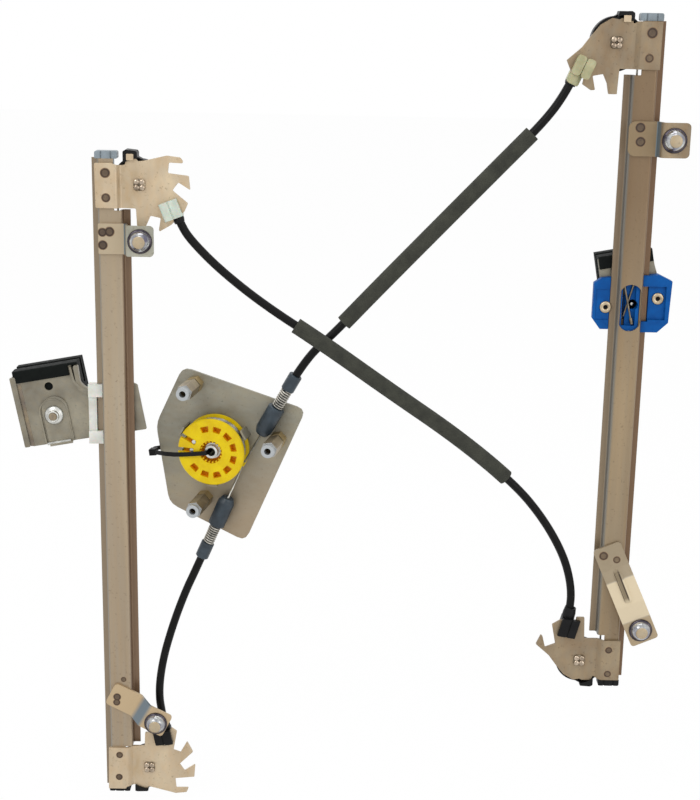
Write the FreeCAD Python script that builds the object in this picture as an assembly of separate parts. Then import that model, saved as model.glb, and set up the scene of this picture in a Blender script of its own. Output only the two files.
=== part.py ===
import FreeCAD, Part
import math
import os
from FreeCAD import Vector

# A twin-rail cable window regulator, all sizes in millimetres.
# It stands as it does in a door: X across the door, Z up, Y from the viewer to the glass.
# The origin is on the axis of the cable drum, in the front face of the motor plate.

# Guide rails
rail_length = 503.0
rail_sheet = 1.5
rail_web_width = 17.4
rail_width = 27.6
rail_depth = 10.0
rail_bend = 0.7
rail_face_y = -20.2
rail_end_cut = 37.5
rail_end_cut_from = 3.0
rail_x = {"left": -75.5, "right": 307.0}
rail_top = {"left": 220.0, "right": 323.0}
inner_side = {"left": 1.0, "right": -1.0}
access_slot_width = 16.2
access_slot_length = 35.0
access_slot_z = 117.5

# Cable, pulleys and their pins
wire_radius = 0.75
wire_gap = 0.3
wire_depth = 7.0
pulley_offset = 21.6
pulley_inset = {"left": 18.6, "right": 15.2}
pulley_pitch_radius = 16.6
pulley_radius = 18.5
pulley_width = 5.4
pulley_root_width = 2.0
pulley_mouth_width = 3.8
pulley_web_width = 3.0
pulley_hub_radius = 7.0
pulley_rim = 4.4
pulley_side_gap = 0.3
pin_journal_radius = 4.0
pin_running_gap = 0.06
pin_neck_radius = 2.9
pin_head_radius = 4.4
pin_head_height = 1.1
pin_cross_width = 1.6

# Sheet brackets at the rail ends
bracket_sheet = 2.0
bracket_setback = 4.0
bracket_joggle = (4.7, 8.5)
bracket_bend = 0.8
bracket_corner = 1.0
exit_angle = {
    ("left", "upper"): 13.0,
    ("left", "lower"): -8.4,
    ("right", "upper"): 23.0,
    ("right", "lower"): -11.7,
}

# Plastic pulley covers
cover_gap = 0.5
cover_wall = 1.6
cover_back = 1.6
clip_span = (10.0, 20.4)
clip_height = 6.5
clip_lip = 1.6
clip_grip = 3.0

# Cable end fittings and sheaths
fitting_start = {
    ("left", "upper"): 15.0,
    ("left", "lower"): 16.0,
    ("right", "upper"): 17.5,
    ("right", "lower"): 15.5,
}
fitting_end = {
    ("left", "upper"): 26.5,
    ("left", "lower"): 30.5,
    ("right", "upper"): 37.0,
    ("right", "lower"): 32.0,
}
fitting_neck_start = {
    ("left", "upper"): 15.8,
    ("left", "lower"): 17.6,
    ("right", "upper"): 22.8,
    ("right", "lower"): 20.8,
}
fitting_cap_width = 14.0
fitting_cap_shift = 2.0
fitting_cap_height = 3.6
fitting_neck_width = 5.0
fitting_body_width = 9.4
fitting_body_depth = 11.0
fitting_bore_radius = 1.3
ferrule_length = {
    ("left", "upper"): 4.5,
    ("left", "lower"): 5.0,
    ("right", "upper"): 3.0,
    ("right", "lower"): 8.0,
}
ferrule_radius = {
    ("left", "upper"): 4.3,
    ("left", "lower"): 4.8,
    ("right", "upper"): 4.4,
    ("right", "lower"): 5.0,
}
ferrule_taper = 0.86
ferrule_flare = 0.55
sheath_radius = 2.8
sheath_bore_radius = 1.1
sheath_fit_gap = 0.1
sheath_seat = 8.0
sheath_lead = {
    ("left", "upper"): 7.0,
    ("left", "lower"): 9.5,
    ("right", "upper"): 8.0,
    ("right", "lower"): 9.0,
}

# Rail fixing brackets and their studs
mount_sheet = 2.0
mount_rise = 10.0
mount_bend = 1.0
mount_chamfer = 3.2
upper_mount_drop = {"left": 57.9, "right": 81.9}
upper_mount_height = {"left": 22.4, "right": 24.8}
upper_mount_start = {"left": -8.6, "right": -9.6}
upper_mount_end = {"left": 33.1, "right": 32.6}
upper_stud_x = {"left": 23.1, "right": 21.3}
lower_stud_reach = {"left": 29.0, "right": 22.0}
lower_stud_rise = {"left": 64.0, "right": 47.4}
lower_mount_angle = {"left": -26.9, "right": 113.9}
lower_mount_width = {"left": 19.6, "right": 22.2}
lower_mount_front = {"left": 9.2, "right": 10.6}
lower_mount_back = {"left": 42.0, "right": 70.4}
lower_mount_ramp = {"left": (11.0, 20.0), "right": (23.0, 51.0)}
lower_mount_shift = {"left": -1.5, "right": 0.0}
rib_width = 6.0
rib_height = 1.4
stud_flange_radius = 9.0
stud_flange_height = 1.6
stud_shoulder_radius = 7.0
stud_shoulder_height = 3.4
stud_pin_radius = 4.5
stud_pin_length = 3.6
stud_neck_radius = 4.0
stud_neck_gap = 0.05

# End stops
stop_width = 16.4
stop_centre = -2.2
stop_height = 5.4
stop_depth = 8.2
stop_plug_length = 9.0
stop_clearance = 0.2

# Motor plate, spacers and hub, in the tilted frame of the plate
plate_tilt = 10.5
plate_sheet = 2.0
plate_corners = [
    (-48.9, 14.1, 1.5),
    (-25.3, 61.2, 7.0),
    (66.6, 34.8, 7.0),
    (21.4, -75.9, 8.0),
    (-38.9, -49.5, 1.5),
]
spacer_places = [(-16.5, 48.6), (48.5, 9.1), (-9.6, -42.4)]
spacer_length = 36.0
spacer_across_flats = 11.0
spacer_foot_length = 9.0
spacer_neck_length = 1.6
spacer_neck_radius = 4.2
spacer_nose_length = 4.0
spacer_nose_radius = 5.0
spacer_bore_radius = 2.5
spacer_bore_depth = 16.0
axle_radius = 5.0
axle_bore_radius = 3.3
axle_front = 17.6
axle_rim_radius = 6.2
axle_rim_width = 1.0
axle_foot_radius = 7.5
axle_foot_height = 1.2
tab_angles = [30.0, 150.0, 270.0]
tab_inner_radius = 27.1
tab_width = 8.0
tab_sheet = 1.5
tab_height = 17.0
tab_window_length = 6.0

# Cable drum, in the tilted frame of the plate
drum_back = 1.0
drum_length = 17.5
drum_flange_radius = 26.0
drum_front_flange = 3.0
drum_back_flange = 2.5
drum_groove_radius = 22.5
drum_running_gap = 0.08
winding_radius = 23.3
winding_turns = 6
drum_pocket_count = 12
drum_pocket_radius = 18.3
drum_pocket_size = 4.6
drum_pocket_depth = 6.0
drum_pocket_share = 0.62
spline_radius = 8.8
spline_depth = 7.0
spline_tooth_count = 18
spline_tooth_height = 1.3
spline_tooth_width = 1.2
nipple_slot_angles = [152.0, 178.0]
nipple_slot_width = 3.4
nipple_slot_inner = 13.6
nipple_radius = 1.5
nipple_length = 4.0

# Cable tensioners on the plate, in the tilted frame of the plate
tensioner_height = 6.9
tensioner_line_radius = 25.1
tensioner_lean = {"upper": 29.2, "lower": 23.3}
tensioner_start = {"upper": 30.0, "lower": 31.5}
tensioner_body_radius = 6.5
tensioner_nose_radius = 4.9
tensioner_nose_length = 4.5
tensioner_body_length = 25.0
tensioner_spring_radius = 4.6
tensioner_spring_length = 16.0
tensioner_spring_coils = 8
tensioner_collar_radius = 5.1
tensioner_collar_length = 13.5
tensioner_tube_radius = 2.9
tensioner_wall = 1.8
collar_lead = {"upper": 15.5, "lower": 13.0}

# Foam sleeves
foam_radius = {"upper": 6.0, "crossover": 5.0}
foam_bore_gap = 0.15

# Tie through the hub
tie_width = 3.2
tie_sheet = 1.2
tie_slope = 7.5
tie_head = (6.0, 6.4, 5.0)

# Glass clamps on both carriers, in the tilted frame of a clamp
clamp_tilt = 10.6
clamp_x = {"left": -123.1, "right": 309.3}
clamp_z = {"left": 24.6, "right": 119.4}
carrier_depth = 12.5
carrier_sheet = 1.5
clamp_left = -21.0
clamp_right = 21.0
right_clamp_left = -24.0
clamp_bottom = -22.0
clamp_top = 36.0
fold_reach = 6.5
fold_depth = 7.0
tail_right = 67.0
tail_top = 16.0
tongue_width = 19.6
tongue_centre = 1.5
tongue_top = 14.4
tongue_rise = 1.4
lip_reach = 3.0
hole_place = (0.4, 22.4)
hole_radius = 3.2
hook_depth = 4.0
grip_left = -24.5
grip_right = 25.5
grip_top = 38.0
grip_lip_bottom = 28.5
grip_lip_sheet = 1.5
grip_bottom = 13.0
grip_depth = 22.0
glass_slot_width = 5.0
glass_slot_depth = 19.0
jaw_top = 34.0
jaw_bottom = -12.0
jaw_half_width = 21.0
bolt_radius = 3.0
bolt_shoulder_radius = 4.4
bolt_head_radius = 6.0
bolt_head_height = 3.0
nut_across_flats = {"left": 10.0, "right": 8.0}
nut_height = {"left": 5.0, "right": 3.6}
nut_flange_radius = {"left": 7.2, "right": 5.6}
nut_flange_height = 1.4

# Carrier sliders
slide_gap = 0.3
slide_edge_gap = 0.4
slide_front_depth = 5.0
channel_gap = 0.4
left_slider_reach = 20.3
left_slider_bottom = 4.4
left_slider_height = 46.2
left_slider_jaw = 9.8
left_slider_lip = 9.4
left_block_height = 34.0
groove_half_width = 1.3
groove_floor = 2.95
wire_nipple_radius = 1.9
wire_nipple_bore = 1.05
wire_nipple_length = 7.0
wire_nipple_start = 9.0
wire_nipple_gap = 0.1
right_slider_z = (99.9, 141.0)
right_slider_inner = 26.4
right_slider_outer = 30.9
right_slider_chamfer = 8.0
right_slider_jaw = 8.0
right_inner_face = 7.5
right_pocket_face = 7.2
right_face_depth = 2.4
right_recess_depth = 5.7
crossed_ends = [(3.15, (-4.9, 134.5), (1.4, 108.5)), (4.85, (2.8, 136.0), (-4.1, 110.5))]
crossed_nipple_radius = 1.3
crossed_nipple_length = 4.5
bolt_well_radius = 3.7
bolt_well_floor = 8.6
right_rivet_reach = 19.4
rivet_flange_radius = 4.3
rivet_flange_height = 1.2
rivet_bore_radius = 1.5
rivet_neck_radius = 2.0

half_web = rail_web_width / 2.0
half_rail = rail_width / 2.0
flange_depth = rail_depth - rail_sheet
wire_offset = pulley_offset - pulley_pitch_radius
rail_bottom = {side: rail_top[side] - rail_length for side in rail_top}
wire_junction = {"left": clamp_z["left"] + 3.0, "right": access_slot_z}

pieces = {}


def keep(name, shape):
    """Store a finished piece under its node name."""
    pieces[name] = shape


def unit(p, q):
    length = math.hypot(p, q)
    return p / length, q / length


def closed_wire(corners, to_space):
    """Closed wire through flat corners (p, q) or (p, q, radius), carried into space by to_space."""
    count = len(corners)
    spans = []
    for index, corner in enumerate(corners):
        p, q = corner[0], corner[1]
        radius = corner[2] if len(corner) > 2 else 0.0
        if radius <= 0.0:
            spans.append([(p, q)])
            continue
        before = corners[index - 1]
        after = corners[(index + 1) % count]
        back = unit(before[0] - p, before[1] - q)
        ahead = unit(after[0] - p, after[1] - q)
        half_angle = math.acos(max(-1.0, min(1.0, back[0] * ahead[0] + back[1] * ahead[1]))) / 2.0
        reach = radius / math.tan(half_angle)
        middle = unit(back[0] + ahead[0], back[1] + ahead[1])
        to_middle = radius / math.sin(half_angle) - radius
        spans.append([
            (p + back[0] * reach, q + back[1] * reach),
            (p + middle[0] * to_middle, q + middle[1] * to_middle),
            (p + ahead[0] * reach, q + ahead[1] * reach),
        ])
    edges = []
    for index, span in enumerate(spans):
        if len(span) == 3:
            edges.append(Part.Arc(to_space(*span[0]), to_space(*span[1]), to_space(*span[2])).toShape())
        following = spans[(index + 1) % count]
        start = to_space(*span[-1])
        finish = to_space(*following[0])
        if start.distanceToPoint(finish) > 1e-6:
            edges.append(Part.LineSegment(start, finish).toShape())
    return Part.Wire(edges)


def prism(corners, to_space, run):
    """Solid made by pushing a closed flat outline along the vector run."""
    return Part.Face(closed_wire(corners, to_space)).extrude(run)


def sheet_section(path, thickness, bend):
    """Corners of a folded sheet's edge; path is the front surface and the sheet lies to its left."""
    def shifted(distance):
        result = []
        last = len(path) - 1
        for index, point in enumerate(path):
            directions = []
            if index > 0:
                directions.append(unit(point[0] - path[index - 1][0], point[1] - path[index - 1][1]))
            if index < last:
                directions.append(unit(path[index + 1][0] - point[0], path[index + 1][1] - point[1]))
            normals = [(-d[1], d[0]) for d in directions]
            if len(normals) == 1:
                offset = (normals[0][0] * distance, normals[0][1] * distance)
            else:
                total = (normals[0][0] + normals[1][0], normals[0][1] + normals[1][1])
                scale = 2.0 * distance / (total[0] ** 2 + total[1] ** 2)
                offset = (total[0] * scale, total[1] * scale)
            result.append((point[0] + offset[0], point[1] + offset[1]))
        return result

    back = shifted(thickness)
    front_corners = []
    back_corners = []
    for index, point in enumerate(path):
        if index in (0, len(path) - 1):
            front_corners.append(point)
            back_corners.append(back[index])
            continue
        first = unit(point[0] - path[index - 1][0], point[1] - path[index - 1][1])
        second = unit(path[index + 1][0] - point[0], path[index + 1][1] - point[1])
        turns_left = first[0] * second[1] - first[1] * second[0] > 0.0
        front_radius = bend + thickness if turns_left else bend
        back_radius = bend if turns_left else bend + thickness
        front_corners.append((point[0], point[1], front_radius))
        back_corners.append((back[index][0], back[index][1], back_radius))
    return front_corners + back_corners[::-1]


def revolved(profile, centre, axis, radial):
    """Solid of revolution; profile points are (radius, distance along axis)."""
    points = [centre + radial * r + axis * h for r, h in profile]
    points.append(points[0])
    return Part.Face(Part.makePolygon(points)).revolve(centre, axis, 360)


def hexagon(across_flats, turn=0.0):
    """Corners of a regular hexagon about the origin."""
    corner_radius = across_flats / math.sqrt(3.0)
    angles = [math.radians(60.0 * k + turn) for k in range(6)]
    return [(corner_radius * math.cos(a), corner_radius * math.sin(a)) for a in angles]


def end_space(side, end, depth):
    """Map for a rail end: u goes from the rail's centre to the pulley side, w goes inwards from the end."""
    if end == "upper":
        end_z, inwards = rail_top[side], -1.0
    else:
        end_z, inwards = rail_bottom[side], 1.0

    def to_space(u, w):
        return Vector(rail_x[side] + inner_side[side] * u, rail_face_y + depth, end_z + inwards * w)

    return to_space


def end_direction(side, end, u, w):
    """Direction in space of a flat direction (u, w) at a rail end."""
    inwards = -1.0 if end == "upper" else 1.0
    return Vector(inner_side[side] * u, 0, inwards * w)


viewer = Vector(0, -1, 0)
away = Vector(0, 1, 0)
up = Vector(0, 0, 1)
rail_ends = [(side, end) for side in ("left", "right") for end in ("upper", "lower")]


def end_name(side, end, what):
    return side + "_" + end + "_" + what


def rail(side):
    """Hat-section rail, open at the back, with the pulley side cut away at both ends."""
    side_x = rail_x[side]
    turn = inner_side[side]
    wall_in = half_web - rail_sheet
    outer_bend = rail_bend + rail_sheet
    section = [
        (-half_rail, flange_depth),
        (-half_web, flange_depth, outer_bend - rail_bend),
        (-half_web, 0.0, outer_bend),
        (half_web, 0.0, outer_bend),
        (half_web, flange_depth, outer_bend - rail_bend),
        (half_rail, flange_depth),
        (half_rail, rail_depth),
        (wall_in, rail_depth, outer_bend - rail_bend + rail_sheet),
        (wall_in, rail_sheet, rail_bend),
        (-wall_in, rail_sheet, rail_bend),
        (-wall_in, rail_depth, outer_bend - rail_bend + rail_sheet),
        (-half_rail, rail_depth),
    ]

    def to_space(u, depth):
        return Vector(side_x + turn * u, rail_face_y + depth, rail_bottom[side])

    shape = prism(section, to_space, up * rail_length)
    for end in ("upper", "lower"):
        at = end_space(side, end, -1.0)
        cut = [
            (rail_end_cut_from, -1.0),
            (half_rail + 1.0, -1.0),
            (half_rail + 1.0, rail_end_cut),
            (rail_end_cut_from, rail_end_cut, 0.5),
        ]
        shape = shape.cut(prism(cut, at, away * (rail_depth + 2.0)))
    if side == "right":
        radius = access_slot_width / 2.0
        straight = access_slot_length / 2.0 - radius
        low = Vector(side_x, rail_face_y - 1.0, access_slot_z - straight)
        cut_depth = rail_sheet + 1.3
        slot = Part.makeCylinder(radius, cut_depth, low, away)
        slot = slot.fuse(Part.makeCylinder(radius, cut_depth, low + up * (2.0 * straight), away))
        corner = Vector(side_x - radius, rail_face_y - 1.0, access_slot_z - straight)
        slot = slot.fuse(Part.makeBox(access_slot_width, cut_depth, 2.0 * straight, corner))
        shape = shape.cut(slot)
    keep(side + "_rail", shape)


def pulley_centre(side, end, depth):
    return end_space(side, end, depth)(pulley_offset, pulley_inset[side])


# Outlines of the end brackets: the rail strip, the tab for the cover's clip, then the slotted fan.
bracket_outline = {
    ("left", "upper"): [
        (-10.8, 1.8), (1.5, 1.4), (2.6, 3.2), (10.6, 2.8), (11.6, -1.6), (18.8, -1.6), (20.4, 1.0),
        (36.8, -3.3), (45.7, -2.1), (47.6, 1.2), (47.3, 2.0), (38.1, 1.3), (37.2, 8.5),
        (51.1, 10.2), (51.8, 19.2), (44.4, 15.0), (40.1, 19.7), (50.4, 28.4), (48.0, 34.3),
        (45.9, 34.3), (44.2, 28.0), (38.0, 29.4), (40.8, 43.0), (38.7, 44.0), (31.1, 47.5),
        (32.1, 38.5), (25.1, 37.2), (22.0, 48.3), (14.9, 48.4), (15.2, 32.7), (-10.8, 32.1),
    ],
    ("left", "lower"): [
        (-10.8, 0.9), (2.4, 1.0), (4.0, 2.8), (10.6, 2.8), (11.6, -1.6), (18.8, -1.6), (20.8, 1.4),
        (42.4, -4.3), (51.1, -3.3), (52.8, 0.4), (42.9, 0.2), (42.1, 8.9),
        (57.4, 10.5), (58.3, 21.4), (49.6, 15.4), (45.6, 21.6), (56.4, 32.3), (51.9, 41.2),
        (46.5, 31.6), (41.0, 33.6), (43.8, 49.9), (39.8, 53.0), (37.2, 50.4), (38.9, 38.2),
        (32.6, 37.2), (30.6, 48.5), (18.5, 48.6), (17.9, 36.8), (-10.0, 36.8),
    ],
    "right": [
        (-9.7, 0.3), (7.2, 0.4), (10.0, 2.2), (11.6, -1.6), (18.8, -1.6), (20.4, -0.6),
        (25.5, -1.6), (33.5, 3.2), (39.4, 10.4), (45.7, 18.9), (56.1, 28.0), (52.6, 36.0),
        (51.2, 34.6), (48.8, 25.4), (41.0, 28.6), (44.2, 44.6), (38.0, 48.6), (35.0, 48.4),
        (37.2, 38.6), (29.8, 37.2), (26.8, 43.5), (25.3, 51.1), (19.3, 51.1), (18.5, 33.4),
        (-9.4, 33.6),
    ],
}


def end_bracket(side, end):
    """Joggled sheet bracket: welded strip on the rail, fan-shaped pulley plate set back behind it."""
    outline = bracket_outline["right"] if side == "right" else bracket_outline[(side, end)]
    corners = [(u, w, bracket_corner * 0.6) for u, w in outline]
    front = -bracket_sheet
    blank = prism(corners, end_space(side, end, front - 1.0), away * (bracket_setback + bracket_sheet + 3.0))
    path = [
        (-30.0, front),
        (bracket_joggle[0], front),
        (bracket_joggle[1], front + bracket_setback),
        (80.0, front + bracket_setback),
    ]
    at = end_space(side, end, 0.0)

    def to_space(u, depth):
        return at(u, -20.0) + away * depth

    band = prism(sheet_section(path, bracket_sheet, bracket_bend), to_space, end_direction(side, end, 0.0, 90.0))
    shape = blank.common(band)
    pin_hole_at = pulley_centre(side, end, -5.0)
    shape = shape.cut(Part.makeCylinder(pin_neck_radius, 15.0, pin_hole_at, away))
    keep(end_name(side, end, "end_bracket"), shape)


plate_back_depth = bracket_setback
pulley_front_depth = wire_depth - pulley_width / 2.0
pulley_back_depth = wire_depth + pulley_width / 2.0
cover_plate_depth = pulley_back_depth + pulley_side_gap
cover_end_depth = cover_plate_depth + cover_back


def pulley(side, end):
    """Grooved wheel with a raised hub and rim and a thinner web between them."""
    half = pulley_width / 2.0
    mouth = pulley_mouth_width / 2.0
    root = pulley_root_width / 2.0
    web = pulley_web_width / 2.0
    root_radius = pulley_pitch_radius - wire_radius - 0.15
    rim_inner = root_radius - pulley_rim + 2.4
    bore = pin_journal_radius + pin_running_gap
    profile = [
        (bore, -half), (pulley_hub_radius, -half), (pulley_hub_radius, -web), (rim_inner, -web),
        (rim_inner, -half), (pulley_radius, -half), (pulley_radius, -mouth), (root_radius, -root),
        (root_radius, root), (pulley_radius, mouth), (pulley_radius, half), (rim_inner, half),
        (rim_inner, web), (pulley_hub_radius, web), (pulley_hub_radius, half), (bore, half),
    ]
    centre = pulley_centre(side, end, wire_depth)
    keep(end_name(side, end, "pulley"), revolved(profile, centre, away, Vector(1, 0, 0)))


def pulley_pin(side, end):
    """Riveted pin: staked front head with a cross, journal for the pulley, and a rear head."""
    front = -bracket_sheet + bracket_setback
    profile = [
        (0.0, front - pin_head_height),
        (pin_head_radius * 0.7, front - pin_head_height),
        (pin_head_radius, front - pin_head_height * 0.3),
        (pin_head_radius, front),
        (pin_neck_radius - 0.05, front),
        (pin_neck_radius - 0.05, plate_back_depth),
        (pin_journal_radius, plate_back_depth),
        (pin_journal_radius, cover_plate_depth),
        (pin_neck_radius, cover_plate_depth),
        (pin_neck_radius, cover_end_depth),
        (pin_head_radius, cover_end_depth),
        (pin_head_radius * 0.8, cover_end_depth + pin_head_height),
        (0.0, cover_end_depth + pin_head_height),
    ]
    centre = pulley_centre(side, end, 0.0)
    pin = revolved(profile, centre, away, Vector(1, 0, 0))
    half = pin_cross_width / 2.0
    for turn in (25.0, 115.0):
        cross = Part.makeBox(2.4 * pin_head_radius, pin_head_height * 0.6, pin_cross_width)
        cross.translate(Vector(-1.2 * pin_head_radius, 0, -half))
        cross.rotate(Vector(0, 0, 0), away, turn)
        cross.translate(centre + away * (front - pin_head_height))
        pin = pin.cut(cross)
    return pin


def pulley_cover(side, end):
    """Plastic keeper behind the pulley: a back disc, a wall round the cable's arc and a clip over the bracket."""
    inner = pulley_radius + cover_gap
    outer = inner + cover_wall
    centre = pulley_centre(side, end, cover_plate_depth)
    back = Part.makeCylinder(outer, cover_back, centre, away)
    wall_start = pulley_centre(side, end, plate_back_depth)
    wall_height = cover_plate_depth - plate_back_depth
    ring = Part.makeCylinder(outer, wall_height, wall_start, away)
    ring = ring.cut(Part.makeCylinder(inner, wall_height, wall_start, away))
    # The wall stands only on the side towards the rail's end, clear of both straight runs of cable.
    keep_from = pulley_inset[side] - 3.0
    sector = [(pulley_offset - 15.0, -20.0), (pulley_offset + 40.0, -20.0), (pulley_offset + 40.0, keep_from)]
    sector += [(pulley_offset - 15.0, keep_from)]
    ring = ring.common(prism(sector, end_space(side, end, 0.0), away * 30.0))
    # A flat on the back disc leaves room for the cable fitting.
    foot, direction = exit_frame(side, end)
    across = direction.cross(away)
    flat = foot + direction * (fitting_start[(side, end)] - cover_gap) + away * -10.0

    def beyond(p, q):
        return flat + across * p + direction * q

    room = [(-60.0, 0.0), (60.0, 0.0), (60.0, 30.0), (-60.0, 30.0)]
    back = back.cut(prism(room, beyond, away * 30.0))
    shape = back.fuse(ring)
    clip = [
        (clip_span[0], -clip_height + 1.2, 1.0), (clip_span[0] + 2.0, -clip_height, 1.0),
        (clip_span[1], -clip_height, 1.0), (clip_span[1], clip_grip), (clip_span[0], clip_grip),
    ]
    front = bracket_setback - bracket_sheet - clip_lip
    hook = prism(clip, end_space(side, end, front), away * (cover_end_depth - front))
    mouth = [(clip_span[0] + 1.2, -3.2), (clip_span[1] - 1.0, -3.2)]
    mouth += [(clip_span[1] - 1.0, 9.0), (clip_span[0] + 1.2, 9.0)]
    hook = hook.cut(prism(mouth, end_space(side, end, front + clip_lip), away * (bracket_sheet + 0.1)))
    below_wall = Part.makeCylinder(inner, 40.0, pulley_centre(side, end, -20.0), away)
    hook = hook.cut(below_wall)
    slit = [(clip_span[0] - 1.0, -1.2), (clip_span[1] + 1.0, -1.2)]
    slit += [(clip_span[1] + 1.0, 9.0), (clip_span[0] - 1.0, 9.0)]
    hook = hook.cut(prism(slit, end_space(side, end, front + clip_lip), away * (bracket_sheet + 0.1)))
    shape = shape.fuse(hook)
    neck = Part.makeCylinder(pin_neck_radius + 0.05, cover_back + 2.0, pulley_centre(side, end, cover_plate_depth - 1.0), away)
    shape = shape.cut(neck)
    keep(end_name(side, end, "pulley_cover"), shape.removeSplitter())


def exit_frame(side, end):
    """Foot of the cable's straight run off the pulley and its direction, in the plane of the pulley."""
    angle = math.radians(exit_angle[(side, end)])
    at = end_space(side, end, wire_depth)
    u = pulley_offset + pulley_pitch_radius * math.cos(angle)
    w = pulley_inset[side] - pulley_pitch_radius * math.sin(angle)
    return at(u, w), end_direction(side, end, math.sin(angle), math.cos(angle))


def exit_point(side, end, distance):
    foot, direction = exit_frame(side, end)
    return foot + direction * distance


def cable_fitting(side, end):
    """Plastic end fitting snapped into a slot of the bracket, with a socket for the sheath."""
    foot, direction = exit_frame(side, end)
    start = fitting_start[(side, end)]
    finish = fitting_end[(side, end)]
    length = finish - start
    across = direction.cross(away)
    towards_pulley = pulley_centre(side, end, wire_depth) - foot
    if across.dot(towards_pulley) < 0.0:
        across = across * -1.0

    def block(width, shift, depth_from, depth_to, from_s, to_s, bevel):
        half = width / 2.0
        corners = [
            (shift - half, depth_from, bevel), (shift + half, depth_from, bevel),
            (shift + half, depth_to, bevel), (shift - half, depth_to, bevel),
        ]
        base = foot + direction * from_s

        def to_space(p, depth):
            return base + across * p + away * (depth - wire_depth)

        return prism(corners, to_space, direction * (to_s - from_s))

    cap_back = bracket_setback - bracket_sheet
    shape = block(fitting_cap_width, fitting_cap_shift, cap_back - fitting_cap_height, cap_back, start - 2.0, finish, 1.0)
    groove = block(1.2, fitting_cap_shift, cap_back - fitting_cap_height - 1.0,
                   cap_back - fitting_cap_height + 0.8, start - 3.0, finish + 1.0, 0.0)
    shape = shape.cut(groove)
    shape = shape.fuse(block(fitting_neck_width, 0.0, cap_back - 0.5, plate_back_depth + 0.5,
                             fitting_neck_start[(side, end)], finish, 0.0))
    shape = shape.fuse(block(fitting_body_width, 0.0, plate_back_depth, fitting_body_depth, start, finish, 0.8))
    shape = shape.cut(Part.makeCylinder(fitting_bore_radius, length + 4.0, foot + direction * (start - 2.0), direction))
    socket_at = foot + direction * (finish - sheath_seat)
    shape = shape.cut(Part.makeCylinder(sheath_radius + sheath_fit_gap, sheath_seat + 1.0, socket_at, direction))
    keep(end_name(side, end, "cable_fitting"), shape.removeSplitter())


def sheath_ferrule(side, end):
    """Ring or tapered boot where the sheath enters its fitting."""
    foot, direction = exit_frame(side, end)
    length = ferrule_length[(side, end)]
    radius = ferrule_radius[(side, end)]
    base = foot + direction * fitting_end[(side, end)]
    inner = sheath_radius + sheath_fit_gap
    profile = [
        (inner, 0.0), (radius, 0.0), (radius, length * 0.45), (radius * ferrule_taper, length),
        (inner + ferrule_flare, length),
    ]
    return revolved(profile, base, direction, away)


def stud(place, direction):
    """Shouldered stud: flange on the bracket, rounded shoulder and plain pin towards the door panel."""
    profile = [
        (0.0, -mount_sheet), (stud_neck_radius, -mount_sheet), (stud_neck_radius, 0.0),
        (stud_flange_radius, 0.0), (stud_flange_radius, stud_flange_height * 0.5),
        (stud_flange_radius - 0.8, stud_flange_height),
        (stud_shoulder_radius, stud_flange_height + 0.2),
        (stud_shoulder_radius - 0.9, stud_shoulder_height),
        (stud_pin_radius, stud_shoulder_height),
        (stud_pin_radius, stud_shoulder_height + stud_pin_length - 0.6),
        (stud_pin_radius - 0.6, stud_shoulder_height + stud_pin_length),
        (0.0, stud_shoulder_height + stud_pin_length),
    ]
    radial = Vector(1, 0, 0)
    return revolved(profile, place, direction, radial)


def mount_front_y():
    """Y of the front surface of the raised tabs."""
    return rail_face_y - mount_sheet - mount_rise


def upper_mount(side):
    """Stepped bracket near the rail's top, welded to the web, with a raised tab for the stud."""
    front = -mount_sheet
    start = upper_mount_start[side]
    end = upper_mount_end[side]
    riser = half_web + 2.0
    path = [(start, front), (riser, front), (riser + 2.6, front - mount_rise), (end, front - mount_rise)]
    height = upper_mount_height[side]
    middle = rail_top[side] - upper_mount_drop[side]
    low = middle - height / 2.0

    def to_space(dx, depth):
        return Vector(rail_x[side] + dx, rail_face_y + depth, low)

    shape = prism(sheet_section(path, mount_sheet, mount_bend), to_space, up * height)
    corner = 5.0 if side == "right" else 1.0
    outline = [
        (start, low, corner), (start, low + height, corner),
        (end, low + height, mount_chamfer), (end, low, mount_chamfer),
    ]

    def flat(dx, z):
        return Vector(rail_x[side] + dx, rail_face_y - 30.0, z)

    shape = shape.common(prism(outline, flat, away * 40.0))
    place = Vector(rail_x[side] + upper_stud_x[side], mount_front_y(), middle)
    shape = shape.cut(Part.makeCylinder(stud_neck_radius + stud_neck_gap, 6.0, place - away * 2.0, away))
    keep(side + "_upper_mount_bracket", shape)
    return stud(place, viewer)


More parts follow.
